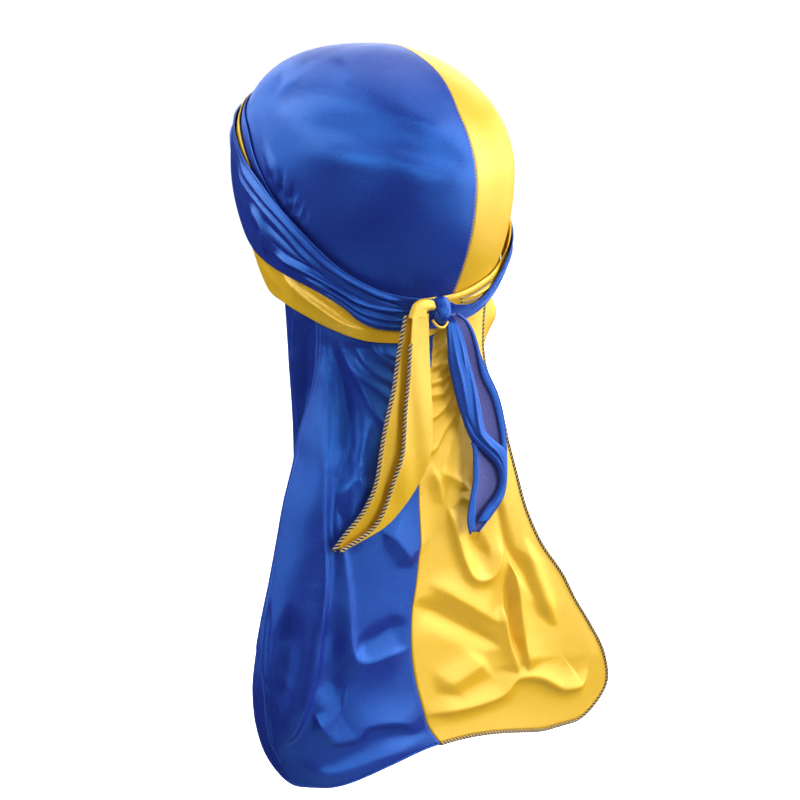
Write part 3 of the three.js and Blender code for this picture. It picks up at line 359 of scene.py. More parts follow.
def fold_height(folds, across, down, size):
    """Height of the folds at each point, where size is the length of one share across and one down."""
    here = np.stack(np.broadcast_arrays(across * size[0], down * size[1]), -1)
    height = np.zeros(here.shape[:-1])
    for points, right, left, high, rise, fall, crest in folds:
        line = through(np.array(points) * size)
        room = 3 * max(right, left)
        close = ((here > line.min(0) - room) & (here < line.max(0) + room)).all(-1)
        distance, side, along = nearest(here[close], line)
        fade = smooth(along / rise + 0.08) * smooth((1 - along) / fall + 0.08)
        wide = mix(left, right, smooth(0.5 + 0.5 * side)) * mix(0.4, 1, fade)
        height[close] += high * fade * np.exp(-np.power(distance / wide, crest))
    return height


# Head
def head_point(angle, z, off=0.0):
    angle, z = np.broadcast_arrays(np.asarray(angle, float), np.asarray(z, float))
    a = np.radians(angle)
    up = np.clip(z / HEAD["rise"], 0, 1)
    rounding = mix(HEAD["nape_round"], HEAD["brow_round"], smooth((1 - np.cos(a)) / 2))
    half = (z + HEAD["hang_level"]) / 2
    low = np.where(z < 0, np.minimum(0, half - HEAD["hang_level"] + np.hypot(half, HEAD["hang_blend"])), 0)
    dome = np.maximum(0, 1 - up**rounding) ** (1 / rounding)
    back = np.cos(a) > 0
    tuck = np.where(back, HEAD["nape_tuck"], HEAD["brow_tuck"])
    wide = HEAD["half_width"] * dome * np.sqrt(1 - (low / HEAD["side_tuck"]) ** 2)
    long = np.where(back, HEAD["half_length"], HEAD["brow_length"]) * dome * np.sqrt(1 - (low / tuck) ** 2)
    point = np.stack([wide * np.sin(a), long * np.cos(a) - HEAD["lean"] * up * up, z], -1)
    if np.isscalar(off) and off == 0:
        return point
    return point + head_normal(angle, z) * np.asarray(off)[..., None]


def head_normal(angle, z):
    e = 0.5
    top = HEAD["rise"] * 0.9999
    along = head_point(angle + e, z) - head_point(angle - e, z)
    down = head_point(angle, z - e) - head_point(angle, np.minimum(z + e, top))
    normal = unit(np.cross(down, along))
    a = np.radians(angle)
    up = np.maximum(z, 0) / HEAD["rise"]
    away = np.stack(np.broadcast_arrays(np.sin(a), np.cos(a), up), -1)
    normal = np.where((normal * away).sum(-1, keepdims=True) < 0, -normal, normal)
    return unit(np.where(np.broadcast_to(up, normal.shape[:-1])[..., None] > 0.999, [0.0, 0, 1], normal))


# Meshes
def grid_normals(grid, wrapped=False):
    if wrapped:
        du = np.roll(grid, -1, 0) - np.roll(grid, 1, 0)
    else:
        du = np.gradient(grid, axis=0)
    cross = np.cross(du, np.gradient(grid, axis=1))
    weak = np.linalg.norm(cross, axis=-1) < 1e-7
    normal = unit(cross)
    if weak[:, 0].any():
        normal[:, 0] = unit(normal[:, 1].mean(0))
    return normal


def grid_area(grid, present, wrapped):
    nxt = np.roll(grid, -1, 0) if wrapped else grid[1:]
    now = grid if wrapped else grid[:-1]
    a = np.cross(nxt[:, 1:] - now[:, :-1], nxt[:, :-1] - now[:, 1:])
    return float((np.linalg.norm(a, axis=-1) / 2 * present).sum())


def cloth_shell(grid, thick=PLY, present=None, wrapped=False, normal=None):
    """Vertices, faces and UVs (in metres along the cloth) of an even ply of cloth, and its area."""
    nu, nv = grid.shape[:2]
    normal = grid_normals(grid, wrapped) if normal is None else normal
    points = np.concatenate([(grid + normal * thick / 2).reshape(-1, 3), (grid - normal * thick / 2).reshape(-1, 3)])
    cells = nu if wrapped else nu - 1
    here = np.ones((cells, nv - 1), bool) if present is None else present
    i, j = np.nonzero(here)
    count = nu * nv

    def index(side, a, b):
        return side * count + (a % nu) * nv + b

    corners = [(i, j), (i + 1, j), (i + 1, j + 1), (i, j + 1)]
    outer = np.stack([index(0, a, b) for a, b in corners], -1)
    inner = np.stack([index(1, a, b) for a, b in corners], -1)[:, ::-1]
    faces = [outer, inner]
    padded = np.zeros((cells + 2, nv + 1), bool)
    padded[1:-1, 1:-1] = here
    if wrapped:
        padded[0, 1:-1] = here[-1]
        padded[-1, 1:-1] = here[0]
    for k, (di, dj) in enumerate([(0, -1), (1, 0), (0, 1), (-1, 0)]):
        edge = ~padded[i + 1 + di, j + 1 + dj]
        n = (k + 1) % 4
        a, b = outer[edge, k], outer[edge, n]
        faces.append(np.stack([b, a, a + count, b + count], -1))
    faces = np.concatenate(faces)
    along = np.linalg.norm(np.diff(grid, axis=0, prepend=grid[:1]), axis=-1).cumsum(0)
    down = np.linalg.norm(np.diff(grid, axis=1, prepend=grid[:, :1]), axis=-1).cumsum(1)
    uv = np.tile(np.stack([along, down], -1).reshape(-1, 2), (2, 1)) * MM
    return points, faces, uv, grid_area(grid, here, wrapped)


def tube(path, radius, sides=8, turns=None):
    """Vertices, faces and UVs of a round tube along a path, radius may be one number or one a point."""
    path = np.asarray(path, float)
    tangent = unit(np.gradient(path, axis=0))
    side = np.cross([0.0, 1, 0], tangent[0])
    side = side if np.linalg.norm(side) > 0.1 else np.cross([1.0, 0, 0], tangent[0])
    frames = []
    for t in tangent:
        side = unit(side - t * (side @ t))
        frames.append(side)
    side = np.array(frames)
    other = np.cross(tangent, side)
    turn = np.linspace(0, 2 * math.pi, sides, endpoint=False)
    r = np.broadcast_to(radius, len(path))[:, None, None]
    rings = path[:, None] + r * (side[:, None] * np.cos(turn)[None, :, None] + other[:, None] * np.sin(turn)[None, :, None])
    return loft(rings)


def loft(rings):
    """Closed solid through rings of points, with flat ends."""
    n, sides = rings.shape[:2]
    k, s = np.meshgrid(np.arange(n - 1), np.arange(sides), indexing="ij")
    nxt = (s + 1) % sides
    faces = np.stack([k * sides + s, k * sides + nxt, (k + 1) * sides + nxt, (k + 1) * sides + s], -1).reshape(-1, 4)
    fan = np.arange(1, sides - 1)
    zero = np.zeros_like(fan)
    last = (n - 1) * sides
    caps = np.concatenate([
        np.stack([zero, fan + 1, fan, fan], -1),
        np.stack([zero + last, fan + last, fan + 1 + last, fan + 1 + last], -1),
    ])
    length = np.linalg.norm(np.diff(rings.mean(1), axis=0, prepend=rings[:1].mean(1)), axis=-1).cumsum()
    around = np.linspace(0, 6, sides, endpoint=False)
    uv = np.stack(np.meshgrid(length, around, indexing="ij"), -1).reshape(-1, 2) * MM
    return rings.reshape(-1, 3), np.concatenate([faces, caps]), uv, 0.0


def joined(parts):
    """One set of vertices, faces and UVs from several."""
    points, faces, uvs, area, start = [], [], [], 0.0, 0
    for p, f, uv, a in parts:
        points.append(p)
        faces.append(f + start)
        uvs.append(uv)
        start += len(p)
        area += a
    return np.concatenate(points), np.concatenate(faces), np.concatenate(uvs), area


def outward(points, faces):
    """Turns the faces outwards, judged by the volume that they close."""
    a, b, c, d = (points[faces[:, k]] for k in range(4))
    volume = (a * np.cross(b, c)).sum() + (a * np.cross(c, d)).sum()
    return faces if volume > 0 else faces[:, ::-1]


def piece(name, parts, material, nodes=()):
    """Makes the object, in metres, smooth and with its UVs, rides it on the part's one body."""
    parts = [(p, outward(p, f), uv, a) for p, f, uv, a in parts]
    points, faces, uvs, _ = joined(parts)
    mesh = bpy.data.meshes.new(name)
    loops = [tuple(dict.fromkeys(face)) for face in faces.tolist()]
    mesh.from_pydata((points * MM).tolist(), [], [face for face in loops if len(face) > 2])
    mesh.shade_smooth()
    layer = mesh.uv_layers.new(name="cloth")
    index = np.empty(len(mesh.loops), int)
    mesh.loops.foreach_get("vertex_index", index)
    layer.data.foreach_set("uv", uvs[index].ravel())
    mesh.materials.append(material)
    made = bpy.data.objects.new(name, mesh)
    bpy.context.collection.objects.link(made)
    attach(made, "root")
    if nodes:
        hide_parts(*nodes)
    return made


# Materials
def new_material(name):
    material = bpy.data.materials.new(name)
    material.use_nodes = True
    tree = material.node_tree
    return material, tree, tree.nodes["Principled BSDF"]


def add(tree, kind, **values):
    node = tree.nodes.new(kind)
    for key, value in values.items():
        setattr(node, key, value)
    return node


def cloth_uv(tree, scale):
    source = add(tree, "ShaderNodeUVMap", uv_map="cloth")
    mapping = add(tree, "ShaderNodeMapping")
    mapping.inputs["Scale"].default_value = (scale, scale, scale)
    tree.links.new(source.outputs["UV"], mapping.inputs["Vector"])
    return mapping.outputs["Vector"]


def satin(name, dark, light, glow, gloss, mirror, roughness, sheen, metal):
    """Satin: long floating threads, fine grain, faint colour changes, and some light through the cloth."""
    material, tree, shader = new_material(name)
    link = tree.links.new
    threads = add(tree, "ShaderNodeTexWave", wave_type="BANDS", bands_direction="X", wave_profile="SIN")
    threads.inputs["Scale"].default_value = 0.6
    threads.inputs["Distortion"].default_value = 1.5
    threads.inputs["Detail"].default_value = 1
    link(cloth_uv(tree, 2600), threads.inputs["Vector"])
    grain = add(tree, "ShaderNodeTexNoise")
    grain.inputs["Scale"].default_value = 900
    grain.inputs["Detail"].default_value = 2
    link(cloth_uv(tree, 1), grain.inputs["Vector"])
    both = add(tree, "ShaderNodeMath", operation="ADD")
    link(threads.outputs["Fac"], both.inputs[0])
    link(grain.outputs["Fac"], both.inputs[1])
    bump = add(tree, "ShaderNodeBump")
    bump.inputs["Strength"].default_value = 0.28
    bump.inputs["Distance"].default_value = 0.0003
    link(both.outputs[0], bump.inputs["Height"])
    patches = add(tree, "ShaderNodeTexNoise")
    patches.inputs["Scale"].default_value = 850
    patches.inputs["Detail"].default_value = 3
    patches.inputs["Roughness"].default_value = 0.6
    link(cloth_uv(tree, 1), patches.inputs["Vector"])
    ramp = add(tree, "ShaderNodeValToRGB")
    ramp.color_ramp.elements[0].position = 0.3
    ramp.color_ramp.elements[0].color = (*dark, 1)
    ramp.color_ramp.elements[1].position = 0.7
    ramp.color_ramp.elements[1].color = (*light, 1)
    link(patches.outputs["Fac"], ramp.inputs["Fac"])
    link(ramp.outputs["Color"], shader.inputs["Base Color"])
    link(bump.outputs["Normal"], shader.inputs["Normal"])
    rough = add(tree, "ShaderNodeMapRange")
    rough.inputs["To Min"].default_value = roughness - 0.05
    rough.inputs["To Max"].default_value = roughness + 0.05
    link(patches.outputs["Fac"], rough.inputs["Value"])
    link(rough.outputs["Result"], shader.inputs["Roughness"])
    shader.inputs["Metallic"].default_value = metal
    shader.inputs["Specular IOR Level"].default_value = 0.5
    shader.inputs["Specular Tint"].default_value = (*gloss, 1)
    shader.inputs["IOR"].default_value = mirror
    shader.inputs["Anisotropic"].default_value = 0.4
    shader.inputs["Sheen Weight"].default_value = sheen
    shader.inputs["Sheen Roughness"].default_value = 0.4
    shader.inputs["Sheen Tint"].default_value = (*glow, 1)
    through = add(tree, "ShaderNodeBsdfTranslucent")
    through.inputs["Color"].default_value = (*glow, 1)
    blend = add(tree, "ShaderNodeMixShader")
    blend.inputs["Fac"].default_value = 0.08
    link(shader.outputs[0], blend.inputs[1])
    link(through.outputs[0], blend.inputs[2])
    link(blend.outputs[0], tree.nodes["Material Output"].inputs["Surface"])
    return material


def thread(name, dark, light):
    """Sewing thread and cord: twisted fibres with a soft gloss."""
    material, tree, shader = new_material(name)
    link = tree.links.new
    fibres = add(tree, "ShaderNodeTexWave", wave_type="BANDS", bands_direction="DIAGONAL")
    fibres.inputs["Scale"].default_value = 1.0
    fibres.inputs["Distortion"].default_value = 2
    link(cloth_uv(tree, 3000), fibres.inputs["Vector"])
    ramp = add(tree, "ShaderNodeValToRGB")
    ramp.color_ramp.elements[0].color = (*dark, 1)
    ramp.color_ramp.elements[1].color = (*light, 1)
    link(fibres.outputs["Fac"], ramp.inputs["Fac"])
    link(ramp.outputs["Color"], shader.inputs["Base Color"])
    bump = add(tree, "ShaderNodeBump")
    bump.inputs["Strength"].default_value = 0.3
    bump.inputs["Distance"].default_value = 0.0001
    link(fibres.outputs["Fac"], bump.inputs["Height"])
    link(bump.outputs["Normal"], shader.inputs["Normal"])
    shader.inputs["Roughness"].default_value = 0.55
    shader.inputs["Specular IOR Level"].default_value = 0.3
    return material


BLUE = satin("satin_blue", (0.016, 0.034, 0.29), (0.034, 0.066, 0.48), (0.05, 0.14, 0.8), (0.05, 0.46, 1.0), 2.25, 0.3, 0.0, 0.2)
# Back ply of the blue end: a paler, greyer blue than the satin, painted light that stands in for light shining through
# the thin cloth.
BLUE_PAINTED_THROUGH_LIGHT = satin("satin_blue_painted_through_light", (0.055, 0.065, 0.27), (0.13, 0.14, 0.42), (0.3, 0.3, 0.6), (0.5, 0.5, 0.9), 1.6, 0.45, 0.05, 0.0)
YELLOW = satin("satin_yellow", (0.92, 0.52, 0.012), (1.0, 0.64, 0.04), (1.0, 0.8, 0.3), (1.0, 0.9, 0.5), 2.1, 0.33, 0.08, 0.1)
BLUE_THREAD = thread("thread_blue", (0.02, 0.07, 0.4), (0.06, 0.16, 0.75))
NAVY_THREAD = thread("thread_navy", (0.008, 0.01, 0.03), (0.025, 0.028, 0.07))
YELLOW_THREAD = thread("thread_yellow", (0.62, 0.38, 0.06), (0.85, 0.6, 0.18))
CREAM_THREAD = thread("thread_cream", (0.5, 0.38, 0.22), (0.75, 0.62, 0.4))


# Threads, cords and hems
def resampled(path, pitch):
    """Points along a path at even steps."""
    path = np.asarray(path, float)
    length = np.linalg.norm(np.diff(path, axis=0), axis=-1)
    s = np.concatenate([[0], length.cumsum()])
    count = max(2, int(s[-1] / pitch) + 1)
    at = np.linspace(0, s[-1], count)
    return np.stack([np.interp(at, s, path[:, k]) for k in range(3)], -1), at


def carried_frame(path):
    """A side and an up vector carried along the path without twist."""
    tangent = unit(np.gradient(path, axis=0))
    side = np.cross(tangent[0], [0.3, 0.9, 0.2])
    sides = []
    for t in tangent:
        side = unit(side - t * (side @ t))
        sides.append(side)
    side = np.array(sides)
    return side, np.cross(tangent, side)


def helix(path, radius, pitch, phase=0.0, step=0.5):
    """A line that winds round the path."""
    line, at = resampled(path, step)
    side, other = carried_frame(line)
    turn = 2 * math.pi * at / pitch + phase
    return line + radius * (side * np.cos(turn)[:, None] + other * np.sin(turn)[:, None])


ROPE = {"radius": 0.74, "strand": 0.6, "pitch": 5.2}
STRAP_ROPE = 0.55


def rope(name, path, nodes=(), scale=1.0):
    """Twisted edging of four strands, two of them navy, one cream and one yellow."""
    radius, strand, pitch = (ROPE[key] * scale for key in ("radius", "strand", "pitch"))
    made = []
    colours = [("navy", NAVY_THREAD, (0, 2)), ("cream", CREAM_THREAD, (1,)), ("yellow", YELLOW_THREAD, (3,))]
    for label, material, places in colours:
        strands = [tube(helix(path, radius, pitch, k * math.pi / 2), strand, 6) for k in places]
        made.append(piece(f"{name}_{label}", strands, material, nodes if label == "navy" else ()))
    return made


def overlock(name, path, nodes=()):
    """Rolled blue hem with thread wound over it."""
    line, _ = resampled(path, 1.2)
    core = piece(f"{name}_roll", [tube(line, 0.75, 8)], BLUE, nodes)
    wound = piece(f"{name}_thread", [tube(helix(path, 0.82, 1.5, step=0.3), 0.2, 4)], BLUE_THREAD)
    return [core, wound]


def stitches(name, path, pitch, length, material, slant=0.0, radius=0.22):
    """Short stitches along a path, each a small bowed thread."""
    line, at = resampled(path, pitch)
    tangent = unit(np.gradient(line, axis=0))
    side, _ = carried_frame(line)
    parts = []
    for point, t, s in zip(line, tangent, side):
        run = unit(t + s * slant) * length / 2
        bow = np.array([point - run, point - run / 2, point, point + run / 2, point + run])
        parts.append(tube(bow, np.array([0.3, 0.9, 1, 0.9, 0.3]) * radius, 5))
    return piece(name, parts, material)


# Cap
def skirt_end(angle):
    return -mix(CAP["back_drop"], CAP["skirt_drop"], smooth(angle / CAP["back_ends"]))


def cap_surface(side, angle, share):
    """Share runs from 0 at the top to 1 at the cap's edge and 2 at the end of the neck skirt."""
    edge = read(CAP_EDGE, angle)[0] * CAP["dip"]
    tilt = np.arcsin(np.clip(edge / HEAD["rise"], -1, 1))
    dome = HEAD["rise"] * np.sin(mix(math.pi / 2, tilt, np.clip(share, 0, 1)))
    hang = mix(edge, np.minimum(edge, skirt_end(angle)), np.clip(share - 1, 0, 1))
    z = np.where(share <= 1, dome, hang)
    taper = 1 - CAP["skirt_taper"] * np.where(share > 1, smooth((edge - z) / CAP["taper_length"]), 0)
    flare = FLARE[side]
    near = bell((angle - flare["angle"]) / flare["spread"]) * bell((z - flare["level"]) / flare["length"])
    bulge = np.where(share > 1, flare["height"] * near * smooth(FLARE_FADE * (share - 1)), 0)
    crease = fold_height(CAP_FOLDS, side * angle / 180, 1 - z / HEAD["rise"], (250, HEAD["rise"]))
    point = head_point(side * angle, z, bulge - WALL / 2 + crease)
    point[..., :2] *= taper[..., None]
    point[..., 0] = side * np.maximum(0.01, side * point[..., 0])
    return leaned(point)


def leaned(point):
    """Moves the top of the cap sideways along the head, so that its seam leans as the photographed one."""
    x, y, z = np.moveaxis(point, -1, 0)
    shift = SEAM_LEAN["across"] + SEAM_LEAN["top"] * bell((y - SEAM_LEAN["middle"]) / SEAM_LEAN["length"])
    shift = shift * smooth((z - SEAM_LEAN["from"]) / SEAM_LEAN["over"])

    def level(x, y):
        up = np.clip(z / HEAD["rise"], 0, 1)
        y = y + HEAD["lean"] * up * up
        half = np.where(y > 0, HEAD["half_length"], HEAD["brow_length"])
        reach = np.clip(np.hypot(x / HEAD["half_width"], y / half), 0, 1)
        rounding = mix(HEAD["nape_round"], HEAD["brow_round"], smooth((1 - (y / half) / np.maximum(reach, 1e-6)) / 2))
        return HEAD["rise"] * (1 - reach**rounding) ** (1 / rounding)

    drop = np.where(shift < 0, level(x + shift, y) - level(x, y), 0)
    return np.stack([x + shift, y, z + drop], -1)


def make_cap(side):
    name, colour, slot = ("crown_left", BLUE, "satin_blue") if side > 0 else ("crown_right", YELLOW, "satin_yellow")
    front = CAP["skirt_front"]
    angles = np.concatenate([
        np.linspace(0, 58, 40, endpoint=False), np.linspace(58, front, 62, endpoint=False), np.linspace(front, 180, 62),
    ])
    shares = np.concatenate([np.linspace(0, 1, 80), 1 + np.linspace(0, 1, 45)[1:] ** 1.2])
    a, s = np.meshgrid(angles, shares, indexing="ij")
    grid = cap_surface(side, a, s)
    present = (s[:-1, 1:] <= 1) | (a[1:, 1:] <= front)
    shell = cloth_shell(grid, PLY, present)
    made = piece(f"{name}_cloth", [shell], colour, [name])
    down = np.linspace(1.0, 2, 80)
    hem = np.concatenate([
        cap_surface(side, np.full(80, float(front)), down),
        cap_surface(side, np.linspace(front, 0, 60)[1:], np.full(59, 2.0)),
    ])
    trim = overlock("skirt_hem_left", hem) if side > 0 else rope("skirt_hem_right", hem)
    if side > 0:
        trim.append(make_seam_stitches())
    return made


def make_seam_stitches():
    """Row of stitches on the blue side of the crown's seam, from the forehead to the nape."""
    share = np.linspace(0.02, 0.97, 150)
    front = cap_surface(1, np.full(150, 179.4), share[::-1])
    back = cap_surface(1, np.full(150, 0.6), share)
    line = np.concatenate([front, back])
    lift = unit(line * (1, 1, 0.8)) * (PLY / 2 + 0.1)
    return stitches("crown_seam_stitches", line + lift, 2.3, 1.3, YELLOW_THREAD, 0.2, 0.26)


# Bands and wraps
def band_surface(table, dip, layer, folds, angle, share, side=1):
    """Share is 0 at the upper edge and 1 at the lower."""
    top, bottom = read(table, angle)
    z = dip * mix(top, bottom, share)
    raised = PLEAT_DEPTH * fold_height(folds, angle / 360, share, (530, 32)) if folds else 0.0
    edge = 1 - np.exp(-((share * (1 - share)) / 0.03))
    behind = 1 - smooth((np.minimum(angle, 360 - angle) - 36) / 8)
    curl = (layer - REST) * behind * np.exp(-share / 0.06) if layer == LAYER[1] else 0.0
    return head_point(side * angle, z, layer + raised * edge - curl + PLY / 2)


def make_front_band(side):
    name, colour, slot = ("front_band_left", BLUE, "satin_blue") if side > 0 else ("front_band_right", YELLOW, "satin_yellow")
    first = 74 if side > 0 else 42
    a, s = np.meshgrid(np.linspace(first, 179.8, 150), np.linspace(0, 1, 20), indexing="ij")
    shell = cloth_shell(band_surface(BAND_EDGE, CAP["dip"], LAYER[0], [], a, s, side), PLY)
    made = piece(f"{name}_cloth", [shell], colour, [name])
    angles = np.linspace(first + 1, 179, 160)
    rows = [band_surface(BAND_EDGE, CAP["dip"], LAYER[0] + PLY / 2, [], angles, np.full(160, at), side) for at in (0.12, 0.88)]
    sewn = [stitches(f"{name}_stitches_{k}", row, 3.2, 2.1, YELLOW_THREAD if side < 0 else BLUE_THREAD) for k, row in enumerate(rows)]


def make_wrap(name, table, layer, folds, colour):
    turn = np.concatenate([np.linspace(0, 120, 240, endpoint=False), np.linspace(120, 360, 240, endpoint=False)])
    a, s = np.meshgrid(turn, np.linspace(0, 1, 54), indexing="ij")
    shell = cloth_shell(band_surface(table, WRAP_DIP, layer, folds, a, s), PLY, wrapped=True)
    return piece(f"{name}_cloth", [shell], colour, [name]), shell[3]


def make_strap_edges():
    """Twisted edging that shows on the yellow strap beside the knot."""
    made = []
    for label, points in STRAP_EDGES.items():
        angle, level = through(points, 40).T
        path = head_point(angle, level, np.full(40, LAYER[1] + PLY + ROPE["strand"]))
        made += rope(f"strap_edge_{label}", path, scale=STRAP_ROPE)
    return made


def make_strap_stitches():
    """Thread along the upper edge of the blue strap, at the wearer's left temple."""
    angle = np.linspace(104, 150, 90)
    path = band_surface(BLUE_WRAP, WRAP_DIP, LAYER[2] + PLY / 2, [], angle, np.full(90, 0.04))
    return stitches("strap_blue_stitches", path, 1.9, 2, BLUE_THREAD, 0.8, 0.3)


# Tail
def tail_section(side, across, down):
    left_x, left_y, seam_x, seam_y, right_x, right_y = read(TAIL_ROWS, down)
    hem = np.stack([left_x, left_y] if side > 0 else [-right_x, right_y], -1) * (TAIL["reach"], TAIL["depth"])
    seam = np.stack([seam_x, seam_y], -1) * (TAIL["reach"], TAIL["depth"])
    full, inset = TAIL_BEND[side]
    near_seam = np.stack([mix(seam[..., 0], hem[..., 0], full), seam[..., 1]], -1)
    near_hem = np.stack([mix(hem[..., 0], seam[..., 0], inset), mix(hem[..., 1], seam[..., 1], full)], -1)
    gap = near_hem - hem
    hem = hem + gap * (HEM_ALLOWANCE / np.linalg.norm(gap, axis=-1, keepdims=True))
    t = across[..., None]
    return (1 - t) ** 3 * seam + 3 * t * (1 - t) ** 2 * near_seam + 3 * t * t * (1 - t) * near_hem + t**3 * hem


def half_flat(side, across, down):
    z = -TAIL["top"] - down * TAIL["drop"]
    top = TAIL["left_top"] if side > 0 else TAIL["right_top"]
    ring = head_point(side * across * top, z, REST + WALL / 2)
    hung = tail_section(side, across, down)
    share = smooth((down - RING_END) / (SECTION_START - RING_END))
    return np.stack([mix(ring[..., 0], hung[..., 0], share), mix(ring[..., 1], hung[..., 1], share), z], -1)


def tail_flat(u, down):
    """The tail without folds, u runs from 1 at the left hem to -1 at the right hem."""
    left = half_flat(1, np.clip(u, 0, 1), down)
    right = half_flat(-1, np.clip(-u, 0, 1), down)
    return np.where((u >= 0)[..., None], left, right)


def tail_surface(u, down):
    e = 1e-3
    du = tail_flat(np.minimum(u + e, 1), down) - tail_flat(np.maximum(u - e, -1), down)
    dv = tail_flat(u, down + e) - tail_flat(u, down - e)
    normal = unit(np.cross(du, dv))
    high = fold_height(TAIL_FOLDS, u, down, (TAIL["reach"], TAIL["drop"])) * FOLD_DEPTH * smooth((down - 0.066) / 0.03)
    return tail_flat(u, down) + normal * high[..., None], normal


def tail_end(side, across):
    corner = np.clip((across - CORNER["start"]) / (1 - CORNER["start"]), 0, 1)
    sag = CORNER["sag"][side] * smooth(across / CORNER["sag_end"])
    lift = CORNER["rise"] * (1 - np.sqrt(1 - corner * corner)) + HEM_ALLOWANCE / TAIL["drop"]
    return CORNER["seam"] + sag - lift


def make_tail_seam():
    """Narrow strip behind the seam, which holds the two halves together."""
    end = tail_end(1, 0)
    share, down = np.meshgrid(np.linspace(-0.02, 0.02, 7), np.linspace(-TAIL["tuck"] / TAIL["drop"], end, 220), indexing="ij")
    grid, normal = tail_surface(read(TAIL_SEAM, down)[0] + share, down)
    return piece("tail_seam", [cloth_shell(grid - normal * (PLY + 0.05), PLY, normal=normal)], BLUE)


def make_tail(side):
    name, colour, slot = ("tail_left", BLUE, "satin_blue") if side > 0 else ("tail_right", YELLOW, "satin_yellow")
    across = 1 - (1 - np.linspace(0, 1, 150)) ** 1.25
    a, s = np.meshgrid(across, np.linspace(0, 1, 250), indexing="ij")
    down = mix(-TAIL["tuck"] / TAIL["drop"], tail_end(side, a), s)
    seam = read(TAIL_SEAM, down)[0]
    grid, normal = tail_surface(mix(seam + side * 1e-3, side, a), down)
    shell = cloth_shell(grid, PLY, normal=unit(grid_normals(grid)) * side)
    made = piece(f"{name}_cloth", [shell], colour, [name])
    first = 12 if side > 0 else 5
    edge = np.concatenate([grid[-1, first:], grid[-2::-1, -1]])
    outward_edge = np.concatenate([normal[-1, first:], normal[-2::-1, -1]])
    tangent = unit(np.gradient(edge, axis=0))
    away = unit(np.cross(tangent, outward_edge))
    middle = grid[75, 115]
    away *= np.sign(((edge - middle) * away).sum(-1, keepdims=True))
    path = edge + away * (0.5 if side > 0 else 1.1)
    hem = f"tail_hem_{'left' if side > 0 else 'right'}"
    trim = overlock(hem, path, [hem]) if side > 0 else rope(hem, path, [hem])
    if side > 0:
        u, drop = through(HEM_ROW, 200).T
        row, out = tail_surface(u, drop)
        trim.append(make_tail_seam())
        trim.append(stitches("tail_hem_stitches", row + out * PLY / 2, 2, 2.2, BLUE_THREAD, 0.8, 0.3))
    return made


# Knot and hanging ends
KNOT_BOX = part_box("knot_blue")
KNOT_CENTRE = np.array([(KNOT_BOX[0][k] + KNOT_BOX[1][k]) / 2 for k in range(3)]) / MM


def make_knot():
    lift = np.sin(np.linspace(-1.4, 1.4, 40))[:, None]
    turn = np.linspace(0, 2 * math.pi, 96, endpoint=False)[None]
    waist = np.sqrt(1 - (0.96 * lift) ** 2)
    wind = 6 * turn + 3.4 * lift
    rib = 1 + 0.22 * np.abs(np.cos(wind / 2)) ** 0.7 + 0.04 * np.cos(14 * turn - 5 * lift)
    ring = np.stack(np.broadcast_arrays(
        KNOT["half_width"] * waist * rib * np.cos(turn),
        KNOT["half_depth"] * waist * (0.94 + 0.06 * rib) * np.sin(turn),
        KNOT["half_height"] * 0.96 * lift + 0 * turn,
    ), -1)
    return piece("knot_wound", [loft(ring + KNOT_CENTRE)], BLUE, ["knot_blue"])


def make_loop():
    share = np.linspace(0, 1, 30)
    x, z, half, turn = read(LOOP_ROWS, share)
    size = TIE_YELLOW["loop"]
    turn = np.radians(turn)[:, None]
    angle = np.linspace(0, 2 * math.pi, 40, endpoint=False)[None]
    reach = half[:, None] * size * np.cos(angle)
    top = YELLOW_END[0][4] * TIE_YELLOW["length"] + TIE_YELLOW["fold"]
    out = TIE_YELLOW["loop_depth"] * np.sin(angle) * (1 + 0.12 * np.cos(3 * angle)) + top * share[:, None]
    ring = np.stack([x[:, None] * size + reach * np.cos(turn), out, z[:, None] * size + reach * np.sin(turn)], -1)
    return piece("knot_loop", [loft(ring + KNOT_CENTRE)], YELLOW, ["knot_loop_yellow"])


def make_arc():
    turn = np.radians(np.linspace(228, 330, 40))
    share = np.linspace(0, 1, 40)
    away = 0.7 + 0.3 + 0.9
    line = np.stack([(KNOT["half_width"] + away) * np.cos(turn), 1.5 * np.sin(math.pi * share), (KNOT["half_height"] + away) * np.sin(turn)], -1)
    return piece("knot_arc", [tube(line + KNOT_CENTRE, 0.85, 10)], YELLOW, ["knot_arc_yellow"])


def make_yellow_end():
    length = TIE_YELLOW["length"]
    drop = np.linspace(YELLOW_END[0][0], 1, 120)
    fold, back, front, y = (column[None] * length for column in read(YELLOW_END, drop))
    turn_share = np.linspace(0, 1, 11)[:, None]
    inner = fold + TIE_YELLOW["fold"]
    rear = mix(back, inner, np.linspace(0, 1, 26)[:-1, None])
    bend = inner - TIE_YELLOW["fold"] * np.sin(math.pi * turn_share)
    face = mix(inner, front, np.linspace(0, 1, 20)[1:, None])
    x = np.concatenate([rear, bend, face])
    lift = np.concatenate([0 * rear, TIE_YELLOW["fold"] * (1 - np.cos(math.pi * turn_share)) + 0 * bend, 2 * TIE_YELLOW["fold"] + 0 * face])
    ripple = 0.5 * np.sin(x / 3.1 + drop[None] * 9) * np.sin(math.pi * drop[None])
    grid = np.stack([x, y + lift + ripple, -drop[None] * length + 0 * x], -1) + KNOT_CENTRE
    shell = cloth_shell(grid, PLY)
    made = piece("tie_end_yellow_cloth", [shell], YELLOW, ["tie_end_yellow"])
    trim = rope("tie_end_hem_back", grid[0]) + rope("tie_end_hem_front", grid[-1, 14:])


def end_point(drop, across, out):
    left, right, y = (column * TIE_BLUE["length"] for column in read(BLUE_END, drop))
    return np.stack([mix(left, right, across), y + out, -drop * TIE_BLUE["length"] + 0 * across], -1) + KNOT_CENTRE


